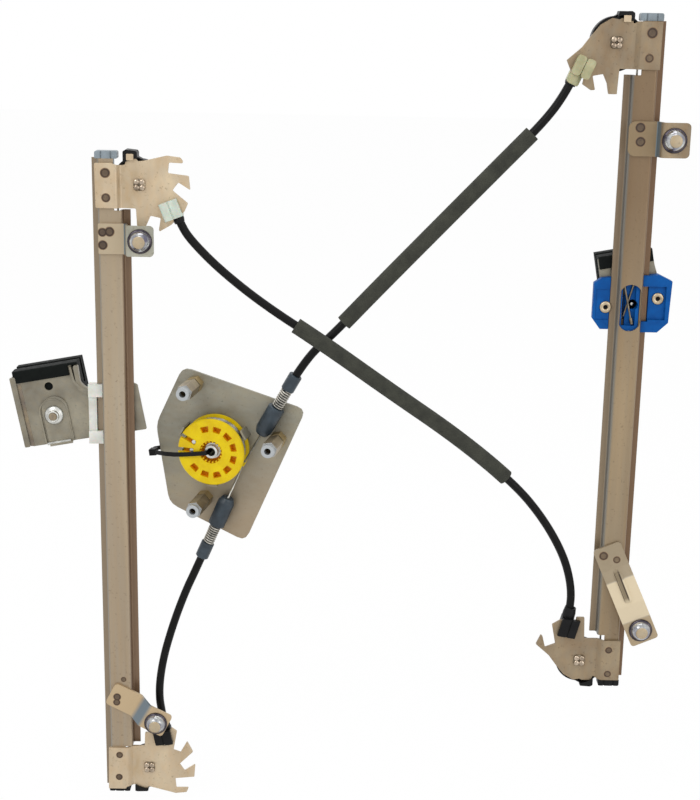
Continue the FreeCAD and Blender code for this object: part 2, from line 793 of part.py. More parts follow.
def lower_mount(side):
    """Slanted strap near the rail's bottom, with a ramp up to the tab for the stud."""
    angle = math.radians(lower_mount_angle[side])
    along = Vector(math.cos(angle), 0, math.sin(angle))
    if side == "left":
        along = along * -1.0
    across = along.cross(away)
    stud_x = rail_x[side] + lower_stud_reach[side]
    place = Vector(stud_x, mount_front_y(), rail_bottom[side] + lower_stud_rise[side])
    width = lower_mount_width[side]
    shift = lower_mount_shift[side]
    ramp = lower_mount_ramp[side]
    lowest = -lower_mount_front[side]
    highest = lower_mount_back[side]
    path = [(lowest, 0.0), (ramp[0], 0.0), (ramp[1], mount_rise), (highest, mount_rise)]
    base = place + across * (shift - width / 2.0)

    def to_space(distance, depth):
        return base + along * distance + away * depth

    shape = prism(sheet_section(path, mount_sheet, mount_bend + 1.0), to_space, across * width)
    outline = [(lowest, 0.0, 2.6), (highest, 0.0, 3.0), (highest, width, 3.0), (lowest, width, 2.6)]

    def flat(distance, side_step):
        return base + along * distance + across * side_step - away * 10.0

    shape = shape.common(prism(outline, flat, away * 40.0))
    if side == "right":
        slope = math.atan2(mount_rise, ramp[1] - ramp[0])
        normal = away * math.cos(slope) - along * math.sin(slope)
        ramp_along = along * math.cos(slope) + away * math.sin(slope)
        rib_length = (ramp[1] - ramp[0]) * 0.86
        start = place + along * (ramp[0] + 1.5) + away * ((ramp[1] - ramp[0]) * 0.07 * math.tan(slope))
        half = rib_width / 2.0
        corners = [(0.0, -half, half * 0.98), (rib_length, -half, half * 0.98), (rib_length, half, half * 0.98)]
        corners += [(0.0, half, half * 0.98)]

        def on_ramp(distance, side_step):
            return start + ramp_along * distance + across * side_step - normal * rib_height

        shape = shape.fuse(prism(corners, on_ramp, normal * (rib_height + 0.8)))
    shape = shape.cut(Part.makeCylinder(stud_neck_radius + stud_neck_gap, 6.0, place - away * 2.0, away))
    keep(side + "_lower_mount_bracket", shape.removeSplitter())
    return stud(place, viewer)


def end_stop(side, end):
    """Plastic stop capping the rail's end, with a plug between the walls."""
    left = stop_centre - stop_width / 2.0
    right = stop_centre + stop_width / 2.0
    gap = stop_clearance
    cap = [(left, 0.0, 0.8), (left, -stop_height, 1.4), (right, -stop_height, 1.4), (right, 0.0, 0.8)]
    shape = prism(cap, end_space(side, end, 0.0), away * stop_depth)
    plug_left = -(half_web - rail_sheet) + gap + 0.6
    plug = [(plug_left, -0.5), (rail_end_cut_from - gap, -0.5), (rail_end_cut_from - gap, stop_plug_length)]
    plug += [(plug_left, stop_plug_length)]
    shape = shape.fuse(prism(plug, end_space(side, end, rail_sheet + gap), away * (stop_depth - rail_sheet - gap)))
    for step in (-3.6, 3.6):
        groove = [(stop_centre + step - 0.5, -stop_height - 1.0), (stop_centre + step + 0.5, -stop_height - 1.0)]
        groove += [(stop_centre + step + 0.5, 1.0), (stop_centre + step - 0.5, 1.0)]
        shape = shape.cut(prism(groove, end_space(side, end, -1.0), away * 1.8))
    return shape.removeSplitter()


def tilted(shape):
    """Carry a shape from the plate's own frame into the frame of the part."""
    shape.rotate(Vector(0, 0, 0), up, -plate_tilt)
    return shape


def tilted_vector(x, y, z):
    angle = math.radians(-plate_tilt)
    return Vector(x * math.cos(angle) - y * math.sin(angle), x * math.sin(angle) + y * math.cos(angle), z)


def plate_space(depth):
    def to_space(x, z):
        return Vector(x, depth, z)

    return to_space


def motor_plate():
    """Flat plate with rounded corners, hub hole and three tabs lanced up round the drum."""
    shape = prism(plate_corners, plate_space(0.0), away * plate_sheet)
    shape = shape.cut(Part.makeCylinder(axle_radius, 10.0, Vector(0, -5.0, 0), away))
    half = tab_width / 2.0
    for angle in tab_angles:
        window = Part.makeBox(tab_window_length, 10.0, tab_width, Vector(tab_inner_radius + tab_sheet, -5.0, -half))
        path = [(0.0, 0.0), (tab_height - 3.0, 0.0), (tab_height, 0.8)]
        section = sheet_section(path, tab_sheet, 0.5)

        def to_space(height, outwards):
            return Vector(tab_inner_radius + outwards, plate_sheet - height, -half)

        tab = prism(section, to_space, up * tab_width)
        window.rotate(Vector(0, 0, 0), away, -angle)
        tab.rotate(Vector(0, 0, 0), away, -angle)
        shape = shape.cut(window).fuse(tab)
    keep("motor_plate", tilted(shape.removeSplitter()))


def plate_spacer(x, z):
    """Hexagonal spacer with a turned neck, a round nose and a threaded bore."""
    def hex_length(start, length):
        corners = [(x + p, z + q) for p, q in hexagon(spacer_across_flats, 12.0)]
        return prism(corners, plate_space(-start), viewer * length)

    foot = spacer_foot_length
    neck = spacer_neck_length
    body = spacer_length - foot - neck - spacer_nose_length
    shape = hex_length(0.0, foot)
    shape = shape.fuse(Part.makeCylinder(spacer_neck_radius, neck, Vector(x, -foot, z), viewer))
    shape = shape.fuse(hex_length(foot + neck, body))
    nose = Part.makeCylinder(spacer_nose_radius, spacer_nose_length, Vector(x, -foot - neck - body, z), viewer)
    shape = shape.fuse(nose)
    bore = Part.makeCylinder(spacer_bore_radius, spacer_bore_depth, Vector(x, -spacer_length, z), away)
    return shape.cut(bore)


def hub_axle():
    """Hollow axle riveted through the plate; the drum turns on it."""
    rim_back = drum_back + drum_length - spline_depth + 0.5
    profile = [
        (axle_bore_radius, plate_sheet + axle_foot_height), (axle_foot_radius, plate_sheet + axle_foot_height),
        (axle_foot_radius, plate_sheet), (axle_radius, plate_sheet), (axle_radius, -rim_back),
        (axle_rim_radius, -rim_back), (axle_rim_radius, -rim_back - axle_rim_width),
        (axle_radius, -rim_back - axle_rim_width), (axle_radius, -axle_front), (axle_bore_radius, -axle_front),
    ]
    keep("hub_axle", tilted(revolved(profile, Vector(0, 0, 0), away, Vector(1, 0, 0))))


def cable_drum():
    """Grooved drum with a ring of pockets, slots for the cable ends and a splined socket for the motor."""
    front = -(drum_back + drum_length)
    back = -drum_back
    bore = axle_radius + drum_running_gap
    lip = 0.8
    profile = [
        (bore, back), (drum_flange_radius - lip, back), (drum_flange_radius, back - lip),
        (drum_flange_radius, back - drum_back_flange + 0.6), (drum_groove_radius, back - drum_back_flange),
        (drum_groove_radius, front + drum_front_flange), (drum_flange_radius, front + drum_front_flange - 0.6),
        (drum_flange_radius, front + lip), (drum_flange_radius - lip, front), (spline_radius, front),
        (spline_radius, front + spline_depth), (bore, front + spline_depth),
    ]
    shape = revolved(profile, Vector(0, 0, 0), away, Vector(1, 0, 0))
    pitch = 360.0 / drum_pocket_count
    half_angle = math.radians(pitch * drum_pocket_share / 2.0)
    low = drum_pocket_radius - drum_pocket_size / 2.0
    high = drum_pocket_radius + drum_pocket_size / 2.0
    for index in range(drum_pocket_count):
        middle = index * pitch + pitch / 2.0
        if any(abs(middle - angle) < pitch * 0.7 for angle in nipple_slot_angles):
            continue
        corners = [
            (low * math.cos(-half_angle), low * math.sin(-half_angle), 0.5),
            (high * math.cos(-half_angle), high * math.sin(-half_angle), 0.5),
            (high * math.cos(half_angle), high * math.sin(half_angle), 0.5),
            (low * math.cos(half_angle), low * math.sin(half_angle), 0.5),
        ]
        pocket = prism(corners, plate_space(front - 1.0), away * (drum_pocket_depth + 1.0))
        pocket.rotate(Vector(0, 0, 0), away, -middle)
        shape = shape.cut(pocket)
    for angle in nipple_slot_angles:
        half = nipple_slot_width / 2.0
        corner = Vector(nipple_slot_inner, front - 1.0, -half)
        slot = Part.makeBox(drum_flange_radius, drum_front_flange + 4.0, nipple_slot_width, corner)
        slot.rotate(Vector(0, 0, 0), away, -angle)
        shape = shape.cut(slot)
    for index in range(spline_tooth_count):
        half = spline_tooth_width / 2.0
        corner = Vector(spline_radius - spline_tooth_height, front + 0.6, -half)
        tooth = Part.makeBox(spline_tooth_height + 0.4, spline_depth - 0.4, spline_tooth_width, corner)
        tooth.rotate(Vector(0, 0, 0), away, index * 360.0 / spline_tooth_count)
        shape = shape.fuse(tooth)
    keep("cable_drum", tilted(shape.removeSplitter()))


def drum_windings():
    """The turns of cable lying in the drum's groove, as one ridged band."""
    first = -(drum_back + drum_back_flange) - 0.5
    room = drum_length - drum_back_flange - drum_front_flange - 1.0
    pitch = room / winding_turns
    inner = drum_groove_radius + 0.05
    outer = winding_radius + wire_radius
    profile = [(inner, first)]
    for turn in range(winding_turns):
        start = first - turn * pitch
        profile.append((inner + 0.35, start))
        profile.append((outer, start - pitch * 0.3))
        profile.append((outer, start - pitch * 0.7))
    profile.append((inner + 0.35, first - room))
    profile.append((inner, first - room))
    keep("drum_windings", tilted(revolved(profile, Vector(0, 0, 0), away, Vector(1, 0, 0))))


def drum_cable_ends():
    """Barrel nipples of both cables in the slots of the drum's front flange."""
    front = -(drum_back + drum_length)
    barrels = []
    for angle in nipple_slot_angles:
        turn = math.radians(angle)
        radius = nipple_slot_inner + nipple_radius + 0.1
        start = Vector(radius * math.cos(turn), front + 0.6, radius * math.sin(turn))
        barrels.append(Part.makeCylinder(nipple_radius, nipple_length, start, away))
    keep("drum_cable_ends", tilted(Part.makeCompound(barrels)))


def tensioner_point(which, distance):
    """Point on a tensioner's axis, in the plate's frame, measured from the drum's tangent point."""
    side_step = 1.0 if which == "upper" else -1.0
    lean = math.radians(tensioner_lean[which])
    direction = (side_step * math.sin(lean), side_step * math.cos(lean))
    foot_x = side_step * direction[1] * tensioner_line_radius
    foot_z = -side_step * direction[0] * tensioner_line_radius
    return Vector(foot_x + direction[0] * distance, -tensioner_height, foot_z + direction[1] * distance)


def tensioner_in_space(which, distance):
    point = tensioner_point(which, distance)
    return tilted_vector(point.x, point.y, point.z)


def tensioner(which):
    """Body, spring and collar of one cable tensioner, as three solids."""
    start = tensioner_start[which]
    origin = tensioner_point(which, start)
    direction = tensioner_point(which, start + 1.0) - origin
    body_end = tensioner_body_length
    spring_end = body_end + tensioner_spring_length
    collar_end = spring_end + tensioner_collar_length
    wire_bore = wire_radius + 0.5
    tube_bore = tensioner_tube_radius + 0.1
    inner_start = tensioner_nose_length + 5.0
    body = revolved([
        (wire_bore, 0.0), (tensioner_nose_radius - 0.6, 0.0), (tensioner_nose_radius, 0.6),
        (tensioner_body_radius, tensioner_nose_length), (tensioner_body_radius, body_end - 0.8),
        (tensioner_body_radius - 0.8, body_end), (tube_bore, body_end), (tube_bore, inner_start),
        (wire_bore, inner_start),
    ], origin, direction, away)
    inner = tube_bore + 0.2
    pitch = tensioner_spring_length / tensioner_spring_coils
    ridge = [(inner, body_end)]
    for coil in range(tensioner_spring_coils):
        low = body_end + coil * pitch
        ridge.append((tensioner_spring_radius - 0.9, low))
        ridge.append((tensioner_spring_radius, low + pitch / 2.0))
    ridge.append((tensioner_spring_radius - 0.9, spring_end))
    ridge.append((inner, spring_end))
    spring = revolved(ridge, origin, direction, away)
    seat = spring_end + tensioner_wall
    collar = revolved([
        (wire_bore, inner_start + 1.0), (tensioner_tube_radius, inner_start + 1.0), (tensioner_tube_radius, spring_end),
        (tensioner_collar_radius - 0.5, spring_end), (tensioner_collar_radius, spring_end + 0.5),
        (tensioner_collar_radius, collar_end - 0.5), (tensioner_collar_radius - 0.5, collar_end),
        (sheath_radius + sheath_fit_gap, collar_end), (sheath_radius + sheath_fit_gap, seat), (wire_bore, seat),
    ], origin, direction, away)
    return tilted(body), tilted(spring), tilted(collar)


def collar_seat(which):
    """Distance along the tensioner's axis of the floor of the collar's socket."""
    return tensioner_start[which] + tensioner_body_length + tensioner_spring_length + tensioner_wall


# Middle points of the three sheaths' routes, and the ends that they were drawn between.
crossover_drawn = [
    Vector(-30.1896, -13.2000, 172.4928),
    Vector(-18.0, -15.0, 158.5),
    Vector(2.5, -19.0, 137.5),
    Vector(35.0, -25.0, 113.4),
    Vector(82.0, -30.0, 91.2),
    Vector(132.5, -29.4, 57.6),
    Vector(184.0, -26.0, 17.2),
    Vector(228.0, -21.0, -20.0),
    Vector(250.2, -17.2, -47.6),
    Vector(267.6, -14.4, -76.6),
    Vector(275.6, -13.4, -100.4),
    Vector(277.4592, -13.2000, -121.2856),
]
upper_drawn = [
    Vector(252.5367, -13.2000, 272.8634),
    Vector(238.5, -13.3, 253.0),
    Vector(212.0, -13.8, 226.0),
    Vector(165.0, -15.2, 177.5),
    Vector(118.5, -18.0, 127.0),
    Vector(87.0, -20.2, 94.2),
    Vector(68.2551, -19.6678, 75.0469),
]
lower_drawn = [
    Vector(-17.0937, -3.8494, -100.8544),
    Vector(-26.2, -5.6, -117.5),
    Vector(-36.2, -7.8, -144.0),
    Vector(-44.0, -10.5, -174.5),
    Vector(-46.8, -12.6, -202.5),
    Vector(-43.3214, -13.2000, -222.4041),
]


def fitting_end_points(side, end):
    """Seat of a sheath in its fitting and a point ahead of it on the fitting's axis."""
    reach = fitting_end[(side, end)]
    return exit_point(side, end, reach - sheath_seat), exit_point(side, end, reach + sheath_lead[(side, end)])


def collar_end_points(which):
    """Seat of a sheath in its collar and a point ahead of it on the collar's axis."""
    finish = tensioner_start[which] + tensioner_body_length + tensioner_spring_length + tensioner_collar_length
    seat = tensioner_in_space(which, collar_seat(which) + 0.3)
    return seat, tensioner_in_space(which, finish + collar_lead[which])


def sheath_route(drawn, first_end, last_end):
    """Route from seat to seat; its middle points move with the ends by their place between them."""
    start = first_end[1]
    finish = last_end[1]
    chord = drawn[-1] - drawn[0]
    route = [first_end[0], start]
    for point in drawn[1:-1]:
        share = (point - drawn[0]).dot(chord) / chord.dot(chord)
        route.append(point + (start - drawn[0]) * (1.0 - share) + (finish - drawn[-1]) * share)
    return route + [finish, last_end[0]]


crossover_route = sheath_route(
    crossover_drawn, fitting_end_points("left", "upper"), fitting_end_points("right", "lower"))
upper_route = sheath_route(upper_drawn, fitting_end_points("right", "upper"), collar_end_points("upper"))
lower_route = sheath_route(lower_drawn, collar_end_points("lower"), fitting_end_points("left", "lower"))


def route_edges(points):
    """Straight runs joined by tangent arcs; each arc takes 0.45 of its shorter run on either side."""
    edges = []
    radii = []
    cursor = points[0]
    for before, corner, after in zip(points, points[1:], points[2:]):
        back = before - corner
        ahead = after - corner
        reach = 0.45 * min(back.Length, ahead.Length)
        back.normalize()
        ahead.normalize()
        half_turn = (math.pi - back.getAngle(ahead)) / 2.0
        radius = reach / math.tan(half_turn)
        start = corner + back * reach
        finish = corner + ahead * reach
        middle_direction = back + ahead
        middle_direction.normalize()
        middle = corner + middle_direction * (radius / math.cos(half_turn) - radius)
        edges.append(Part.LineSegment(cursor, start).toShape())
        edges.append(Part.Arc(start, middle, finish).toShape())
        radii.append(radius)
        cursor = finish
    edges.append(Part.LineSegment(cursor, points[-1]).toShape())
    return edges, radii


def swept_rod(edges, radius):
    """Round rod along tangent edges."""
    path = Part.Wire(edges)
    start = path.OrderedVertexes[0].Point
    first = path.OrderedEdges[0]
    direction = first.tangentAt(first.FirstParameter)
    if first.Vertexes[0].Point.distanceToPoint(start) > 1e-6:
        direction = direction * -1.0
    ring = Part.Wire(Part.makeCircle(radius, start, direction))
    return path.makePipeShell([ring], True, True)


def middle_part(edges, first_run, last_run):
    """Edges from the middle of one straight run to the middle of a later one."""
    first = edges[2 * first_run]
    last = edges[2 * last_run]
    head = (first.Vertexes[0].Point + first.Vertexes[-1].Point) * 0.5
    tail = (last.Vertexes[0].Point + last.Vertexes[-1].Point) * 0.5
    picked = [Part.LineSegment(head, first.Vertexes[-1].Point).toShape()]
    picked += edges[2 * first_run + 1:2 * last_run]
    picked.append(Part.LineSegment(last.Vertexes[0].Point, tail).toShape())
    return picked


def sheath(name, points):
    """Hollow cable sheath whose whole route is held by its end fittings."""
    edges, radii = route_edges(points)
    outer = swept_rod(edges, sheath_radius)
    inner = swept_rod(edges, sheath_bore_radius)
    shape = outer.cut(inner)
    keep(name + "_sheath", shape)
    length = sum(edge.Length for edge in edges)
    section = math.pi * (sheath_radius ** 2 - sheath_bore_radius ** 2)
    listed = " ".join("%.0f" % radius for radius in radii)
    print(name, "sheath length %.1f, arcs %s" % (length, listed))
    print(name, "volume over section times length %.4f" % (shape.Volume / (section * length)))
    return edges


def foam_sleeve(name, edges, first_run, last_run):
    path = middle_part(edges, first_run, last_run)
    outer = swept_rod(path, foam_radius[name])
    inner = swept_rod(path, sheath_radius + foam_bore_gap)
    return outer.cut(inner)


def pulley_run(side, end, channel_z):
    """Cable from a height in the rail's channel, round the pulley and out to the sheath."""
    at = end_space(side, end, wire_depth)
    tangent = at(wire_offset, pulley_inset[side])
    start = Vector(tangent.x, tangent.y, channel_z)
    foot, direction = exit_frame(side, end)
    turn = math.radians((180.0 + exit_angle[(side, end)]) / 2.0)
    top = at(
        pulley_offset + pulley_pitch_radius * math.cos(turn),
        pulley_inset[side] - pulley_pitch_radius * math.sin(turn),
    )
    return [Part.LineSegment(start, tangent).toShape(), Part.Arc(tangent, top, foot).toShape()]


def cable_wires(crossover_edges, upper_edges, lower_edges):
    """The three steel cables: through the rails, round the pulleys, inside the sheaths and on to the drum."""
    left_z = wire_junction["left"]
    right_z = wire_junction["right"]
    gap = 0.02
    wire_start = 3.2
    left_foot = exit_frame("left", "upper")[0]
    right_foot = exit_frame("right", "lower")[0]
    path = pulley_run("left", "upper", left_z + gap)
    path.append(Part.LineSegment(left_foot, crossover_edges[0].Vertexes[0].Point).toShape())
    path += crossover_edges
    path.append(Part.LineSegment(crossover_edges[-1].Vertexes[-1].Point, right_foot).toShape())
    path += pulley_run("right", "lower", right_z - gap)[::-1]
    keep("crossover_wire", swept_rod(path, wire_radius))

    foot = exit_frame("right", "upper")[0]
    path = pulley_run("right", "upper", right_z + gap)
    path.append(Part.LineSegment(foot, upper_edges[0].Vertexes[0].Point).toShape())
    path += upper_edges
    path.append(Part.LineSegment(upper_edges[-1].Vertexes[-1].Point, tensioner_in_space("upper", wire_start)).toShape())
    keep("upper_wire", swept_rod(path, wire_radius))

    foot = exit_frame("left", "lower")[0]
    path = [Part.LineSegment(tensioner_in_space("lower", wire_start), lower_edges[0].Vertexes[0].Point).toShape()]
    path += lower_edges
    path.append(Part.LineSegment(lower_edges[-1].Vertexes[-1].Point, foot).toShape())
    path += pulley_run("left", "lower", left_z - gap)[::-1]
    keep("lower_wire", swept_rod(path, wire_radius))


def hub_tie():
    """Cable tie through the hollow axle and round the plate's edge, with its head beside the plate."""
    front = -(drum_back + drum_length) - 1.0
    behind = plate_sheet + axle_foot_height + 0.4 + tie_sheet
    bore_x = -1.0
    edge_x = -51.0
    path = [
        (edge_x, -4.5), (-29.0, front - tie_sheet), (bore_x, front - tie_sheet), (bore_x, behind),
        (edge_x - tie_sheet, behind), (edge_x - tie_sheet, -3.0),
    ]

    def to_space(x, y):
        return Vector(x, y, -tie_width / 2.0)

    strap = prism(sheet_section(path, tie_sheet, 0.8), to_space, up * tie_width)
    head = Part.makeBox(tie_head[0], tie_head[1], tie_head[2])
    head.translate(Vector(edge_x - 1.6, -8.6, -tie_head[2] / 2.0))
    shape = strap.fuse(head).removeSplitter()
    shape.rotate(Vector(0, 0, 0), away, -tie_slope)
    keep("hub_tie", tilted(shape))


def clamp_space(side, depth):
    angle = math.radians(clamp_tilt)

    def to_space(a, b):
        x = clamp_x[side] + a * math.cos(angle) - b * math.sin(angle)
        z = clamp_z[side] + a * math.sin(angle) + b * math.cos(angle)
        return Vector(x, rail_face_y + depth, z)

    return to_space


def clamp_direction(a, b):
    angle = math.radians(clamp_tilt)
    return Vector(a * math.cos(angle) - b * math.sin(angle), 0, a * math.sin(angle) + b * math.cos(angle))


def carrier_plate(side):
    """Pressed carrier plate: folded edge, raised tongue with a lip, hooked flange, and a tail on the left one."""
    at = clamp_space(side, carrier_depth)
    if side == "left":
        outline = [
            (clamp_left, clamp_bottom), (clamp_left, clamp_top, 1.0), (clamp_right - 0.5, clamp_top, 1.0),
            (clamp_right, 25.0, 6.0), (25.5, tail_top, 5.0), (tail_right - 4.5, tail_top, 1.0),
            (tail_right, tail_top - 3.5, 1.0), (tail_right, clamp_bottom - 0.8, 1.0),
        ]
    else:
        outline = [
            (right_clamp_left, clamp_bottom, 2.0), (right_clamp_left, clamp_top, 1.0), (clamp_right - 0.5, clamp_top, 1.0),
            (clamp_right, 25.0, 6.0), (clamp_right + 2.0, 12.0, 3.0), (clamp_right + 2.0, clamp_bottom, 2.0),
        ]
    shape = prism(outline, at, away * carrier_sheet)
    if side == "left":
        shape = with_tongue(shape)
    shape = shape.cut(Part.makeCylinder(hole_radius, 20.0, clamp_space(side, 0.0)(*hole_place), away))
    shape = shape.cut(Part.makeCylinder(bolt_radius + 0.3, 20.0, clamp_space(side, 0.0)(0.0, 0.0), away))
    if side == "right":
        for reach in (-right_rivet_reach, right_rivet_reach):
            place = clamp_space(side, 0.0)(reach, 0.7)
            shape = shape.cut(Part.makeCylinder(rivet_neck_radius, 20.0, place, away))
    keep(side + "_carrier_plate", shape.removeSplitter())


def with_tongue(shape):
    """Folded edge, raised arch with a bottom lip and hooked flange of the left plate."""
    side = "left"
    fold = [
        (clamp_left + 0.2, 0.0), (clamp_left + 0.2, carrier_sheet),
        (clamp_left - fold_reach + 1.3, fold_depth), (clamp_left - fold_reach, fold_depth - 0.8),
    ]

    def on_edge(a, depth):
        return clamp_space(side, carrier_depth + depth)(a, clamp_bottom)

    shape = shape.fuse(prism(fold, on_edge, clamp_direction(0.0, clamp_top - clamp_bottom - 3.0)))
    half = tongue_width / 2.0
    arch = [
        (tongue_centre - half, clamp_bottom), (tongue_centre - half, tongue_top, half * 0.98),
        (tongue_centre + half, tongue_top, half * 0.98), (tongue_centre + half, clamp_bottom),
    ]
    raised = prism(arch, clamp_space(side, carrier_depth - tongue_rise), away * (tongue_rise + carrier_sheet))
    inset = carrier_sheet
    hollow = [
        (tongue_centre - half + inset, clamp_bottom - 1.0),
        (tongue_centre - half + inset, tongue_top - inset, (half - inset) * 0.98),
        (tongue_centre + half - inset, tongue_top - inset, (half - inset) * 0.98),
        (tongue_centre + half - inset, clamp_bottom - 1.0),
    ]
    dent = prism(hollow, clamp_space(side, carrier_depth - tongue_rise + carrier_sheet), away * (tongue_rise + 2.0))
    shape = shape.fuse(raised).cut(dent)
    lip = [
        (-tongue_rise, 0.0), (-tongue_rise - lip_reach, -1.2),
        (-tongue_rise - lip_reach, 0.3), (-tongue_rise + carrier_sheet, 1.5), (-tongue_rise + carrier_sheet, 0.0),
    ]
    lip_start = tongue_centre - half + 1.0

    def on_lip(depth, b):
        return clamp_space(side, carrier_depth + depth)(lip_start, clamp_bottom + b)

    shape = shape.fuse(prism(lip, on_lip, clamp_direction(tongue_width - 2.0, 0.0)))
    hook = [
        (clamp_right - 1.5, clamp_top - 1.0), (clamp_right, clamp_top - 1.0, 0.5), (clamp_right + 0.6, 24.0, 7.0),
        (27.0, 17.0, 4.0), (30.0, tail_top), (29.6, tail_top - 1.5), (25.6, tail_top - 0.4, 4.0),
        (clamp_right - 1.0, 22.6, 7.0),
    ]
    return shape.fuse(prism(hook, clamp_space(side, carrier_depth - hook_depth), away * (hook_depth + 0.5)))


grip_front = carrier_depth - grip_lip_sheet - 0.1
grip_start = carrier_depth + carrier_sheet
grip_end = grip_start + grip_depth
jaw_start = grip_end
nut_seat = {"left": carrier_depth - tongue_rise, "right": carrier_depth}
jaw_end = jaw_start + carrier_sheet


def glass_grip(side):
    """Rubber channel over the plate's top edge, with a slot for the glass."""
    middle = (grip_start + grip_end) / 2.0
    slot_low = grip_top - glass_slot_depth
    half = glass_slot_width / 2.0
    section = [
        (grip_front, grip_lip_bottom, 0.5), (grip_front, grip_top, 1.0), (middle - half, grip_top, 0.8),
        (middle - half, slot_low, 1.2), (middle + half, slot_low, 1.2), (middle + half, grip_top, 0.8),
        (grip_end, grip_top, 1.0), (grip_end, grip_bottom, 1.0), (grip_start + 0.05, grip_bottom, 1.0),
        (grip_start + 0.05, clamp_top + 0.1), (carrier_depth - 0.1, clamp_top + 0.1),
        (carrier_depth - 0.1, grip_lip_bottom),
    ]

    def to_space(depth, b):
        return clamp_space(side, depth)(grip_left, b)

    shape = prism(section, to_space, clamp_direction(grip_right - grip_left, 0.0))
    if side == "left":
        notch = [
            (grip_left - 1.0, 0.0), (clamp_left + 0.6, 0.0), (clamp_left + 0.6, clamp_top - 2.6),
            (grip_left - 1.0, clamp_top - 2.6),
        ]
        shape = shape.cut(prism(notch, clamp_space(side, carrier_depth + 0.3), away * (fold_depth + 1.0)))
        relief = [(clamp_right - 3.0, 0.0), (40.0, 0.0), (40.0, clamp_top + 0.1), (clamp_right - 3.0, clamp_top + 0.1)]
        front_only = clamp_space(side, grip_front - 1.0)
        shape = shape.cut(prism(relief, front_only, away * (carrier_depth - grip_front + 1.0)))
    keep(side + "_glass_grip", shape)


def clamp_jaw(side):
    """Rear jaw behind the rubber, with rolled side edges."""
    outline = [
        (-jaw_half_width, jaw_bottom, 5.0), (-jaw_half_width, jaw_top, 3.0),
        (jaw_half_width, jaw_top, 3.0), (jaw_half_width, jaw_bottom, 5.0),
    ]
    shape = prism(outline, clamp_space(side, jaw_start), away * carrier_sheet)
    shape = shape.cut(Part.makeCylinder(bolt_radius + 0.3, 60.0, clamp_space(side, 0.0)(0.0, 0.0), away))
    keep(side + "_clamp_jaw", shape)


def clamp_bolt(side):
    """Shouldered bolt from the rear jaw through to the nut in front of the plate."""
    seat = nut_seat[side] + carrier_sheet
    tip = nut_seat[side] - nut_height[side] - 0.9
    profile = [
        (0.0, tip), (bolt_radius - 0.6, tip), (bolt_radius, tip + 0.6), (bolt_radius, seat),
        (bolt_shoulder_radius, seat), (bolt_shoulder_radius, jaw_start), (bolt_radius, jaw_start),
        (bolt_radius, jaw_end), (bolt_head_radius, jaw_end),
        (bolt_head_radius, jaw_end + bolt_head_height * 0.6),
        (bolt_head_radius * 0.7, jaw_end + bolt_head_height), (0.0, jaw_end + bolt_head_height),
    ]
    centre = clamp_space(side, 0.0)(0.0, 0.0)
    keep(side + "_clamp_bolt", revolved(profile, centre, away, Vector(1, 0, 0)))


def clamp_nut(side):
    """Flanged nut on the raised tongue."""
    centre = clamp_space(side, nut_seat[side])(0.0, 0.0)
    corners = hexagon(nut_across_flats[side], clamp_tilt)

    def to_space(p, q):
        return centre + Vector(p, 0, q) - away * 0.5

    shape = prism(corners, to_space, viewer * (nut_height[side] - 0.5))
    flange = [
        (0.0, 0.0), (nut_flange_radius[side], 0.0), (nut_flange_radius[side], 0.5),
        (nut_across_flats[side] * 0.52, nut_flange_height), (0.0, nut_flange_height),
    ]
    shape = shape.fuse(revolved(flange, centre, viewer, Vector(1, 0, 0)))
    shape = shape.cut(Part.makeCylinder(bolt_radius + 0.05, 30.0, centre + away * 5.0, viewer))
    keep(side + "_clamp_nut", shape.removeSplitter())


def rail_box(side, u_from, u_to, depth_from, depth_to, z_from, z_to):
    """Box in the rail's own directions: u to the pulley side, depth from the web's face."""
    ends = sorted([rail_x[side] + inner_side[side] * u_from, rail_x[side] + inner_side[side] * u_to])
    corner = Vector(ends[0], rail_face_y + depth_from, z_from)
    return Part.makeBox(ends[1] - ends[0], depth_to - depth_from, z_to - z_from, corner)


def nipple_bases(side):
    """Foot of each wire nipple: one above and one below the carrier's cable junction."""
    junction = wire_junction[side]
    x = end_space(side, "upper", wire_depth)(wire_offset, 0.0).x
    starts = (junction + wire_nipple_start, junction - wire_nipple_start - wire_nipple_length)
    return [Vector(x, rail_face_y + wire_depth, start) for start in starts]


def wire_groove(side, z_from, z_to):
    """Open groove for the standing cable, with a pocket for each nipple."""
    half = groove_half_width
    shape = rail_box(side, groove_floor, half_rail, wire_depth - half, wire_depth + half, z_from, z_to)
    half = wire_nipple_radius + wire_nipple_gap
    for base in nipple_bases(side):
        low = base.z - wire_nipple_gap
        high = base.z + wire_nipple_length + wire_nipple_gap
        shape = shape.fuse(rail_box(side, groove_floor, half_rail, wire_depth - half, wire_depth + half, low, high))
    return shape


def wire_nipples(side):
    """Barrel nipples by which the cables pull a carrier."""
    barrels = []
    for base in nipple_bases(side):
        barrel = Part.makeCylinder(wire_nipple_radius, wire_nipple_length, base, up)
        barrels.append(barrel.cut(Part.makeCylinder(wire_nipple_bore, wire_nipple_length, base, up)))
    keep(side + "_wire_nipples", Part.makeCompound(barrels))


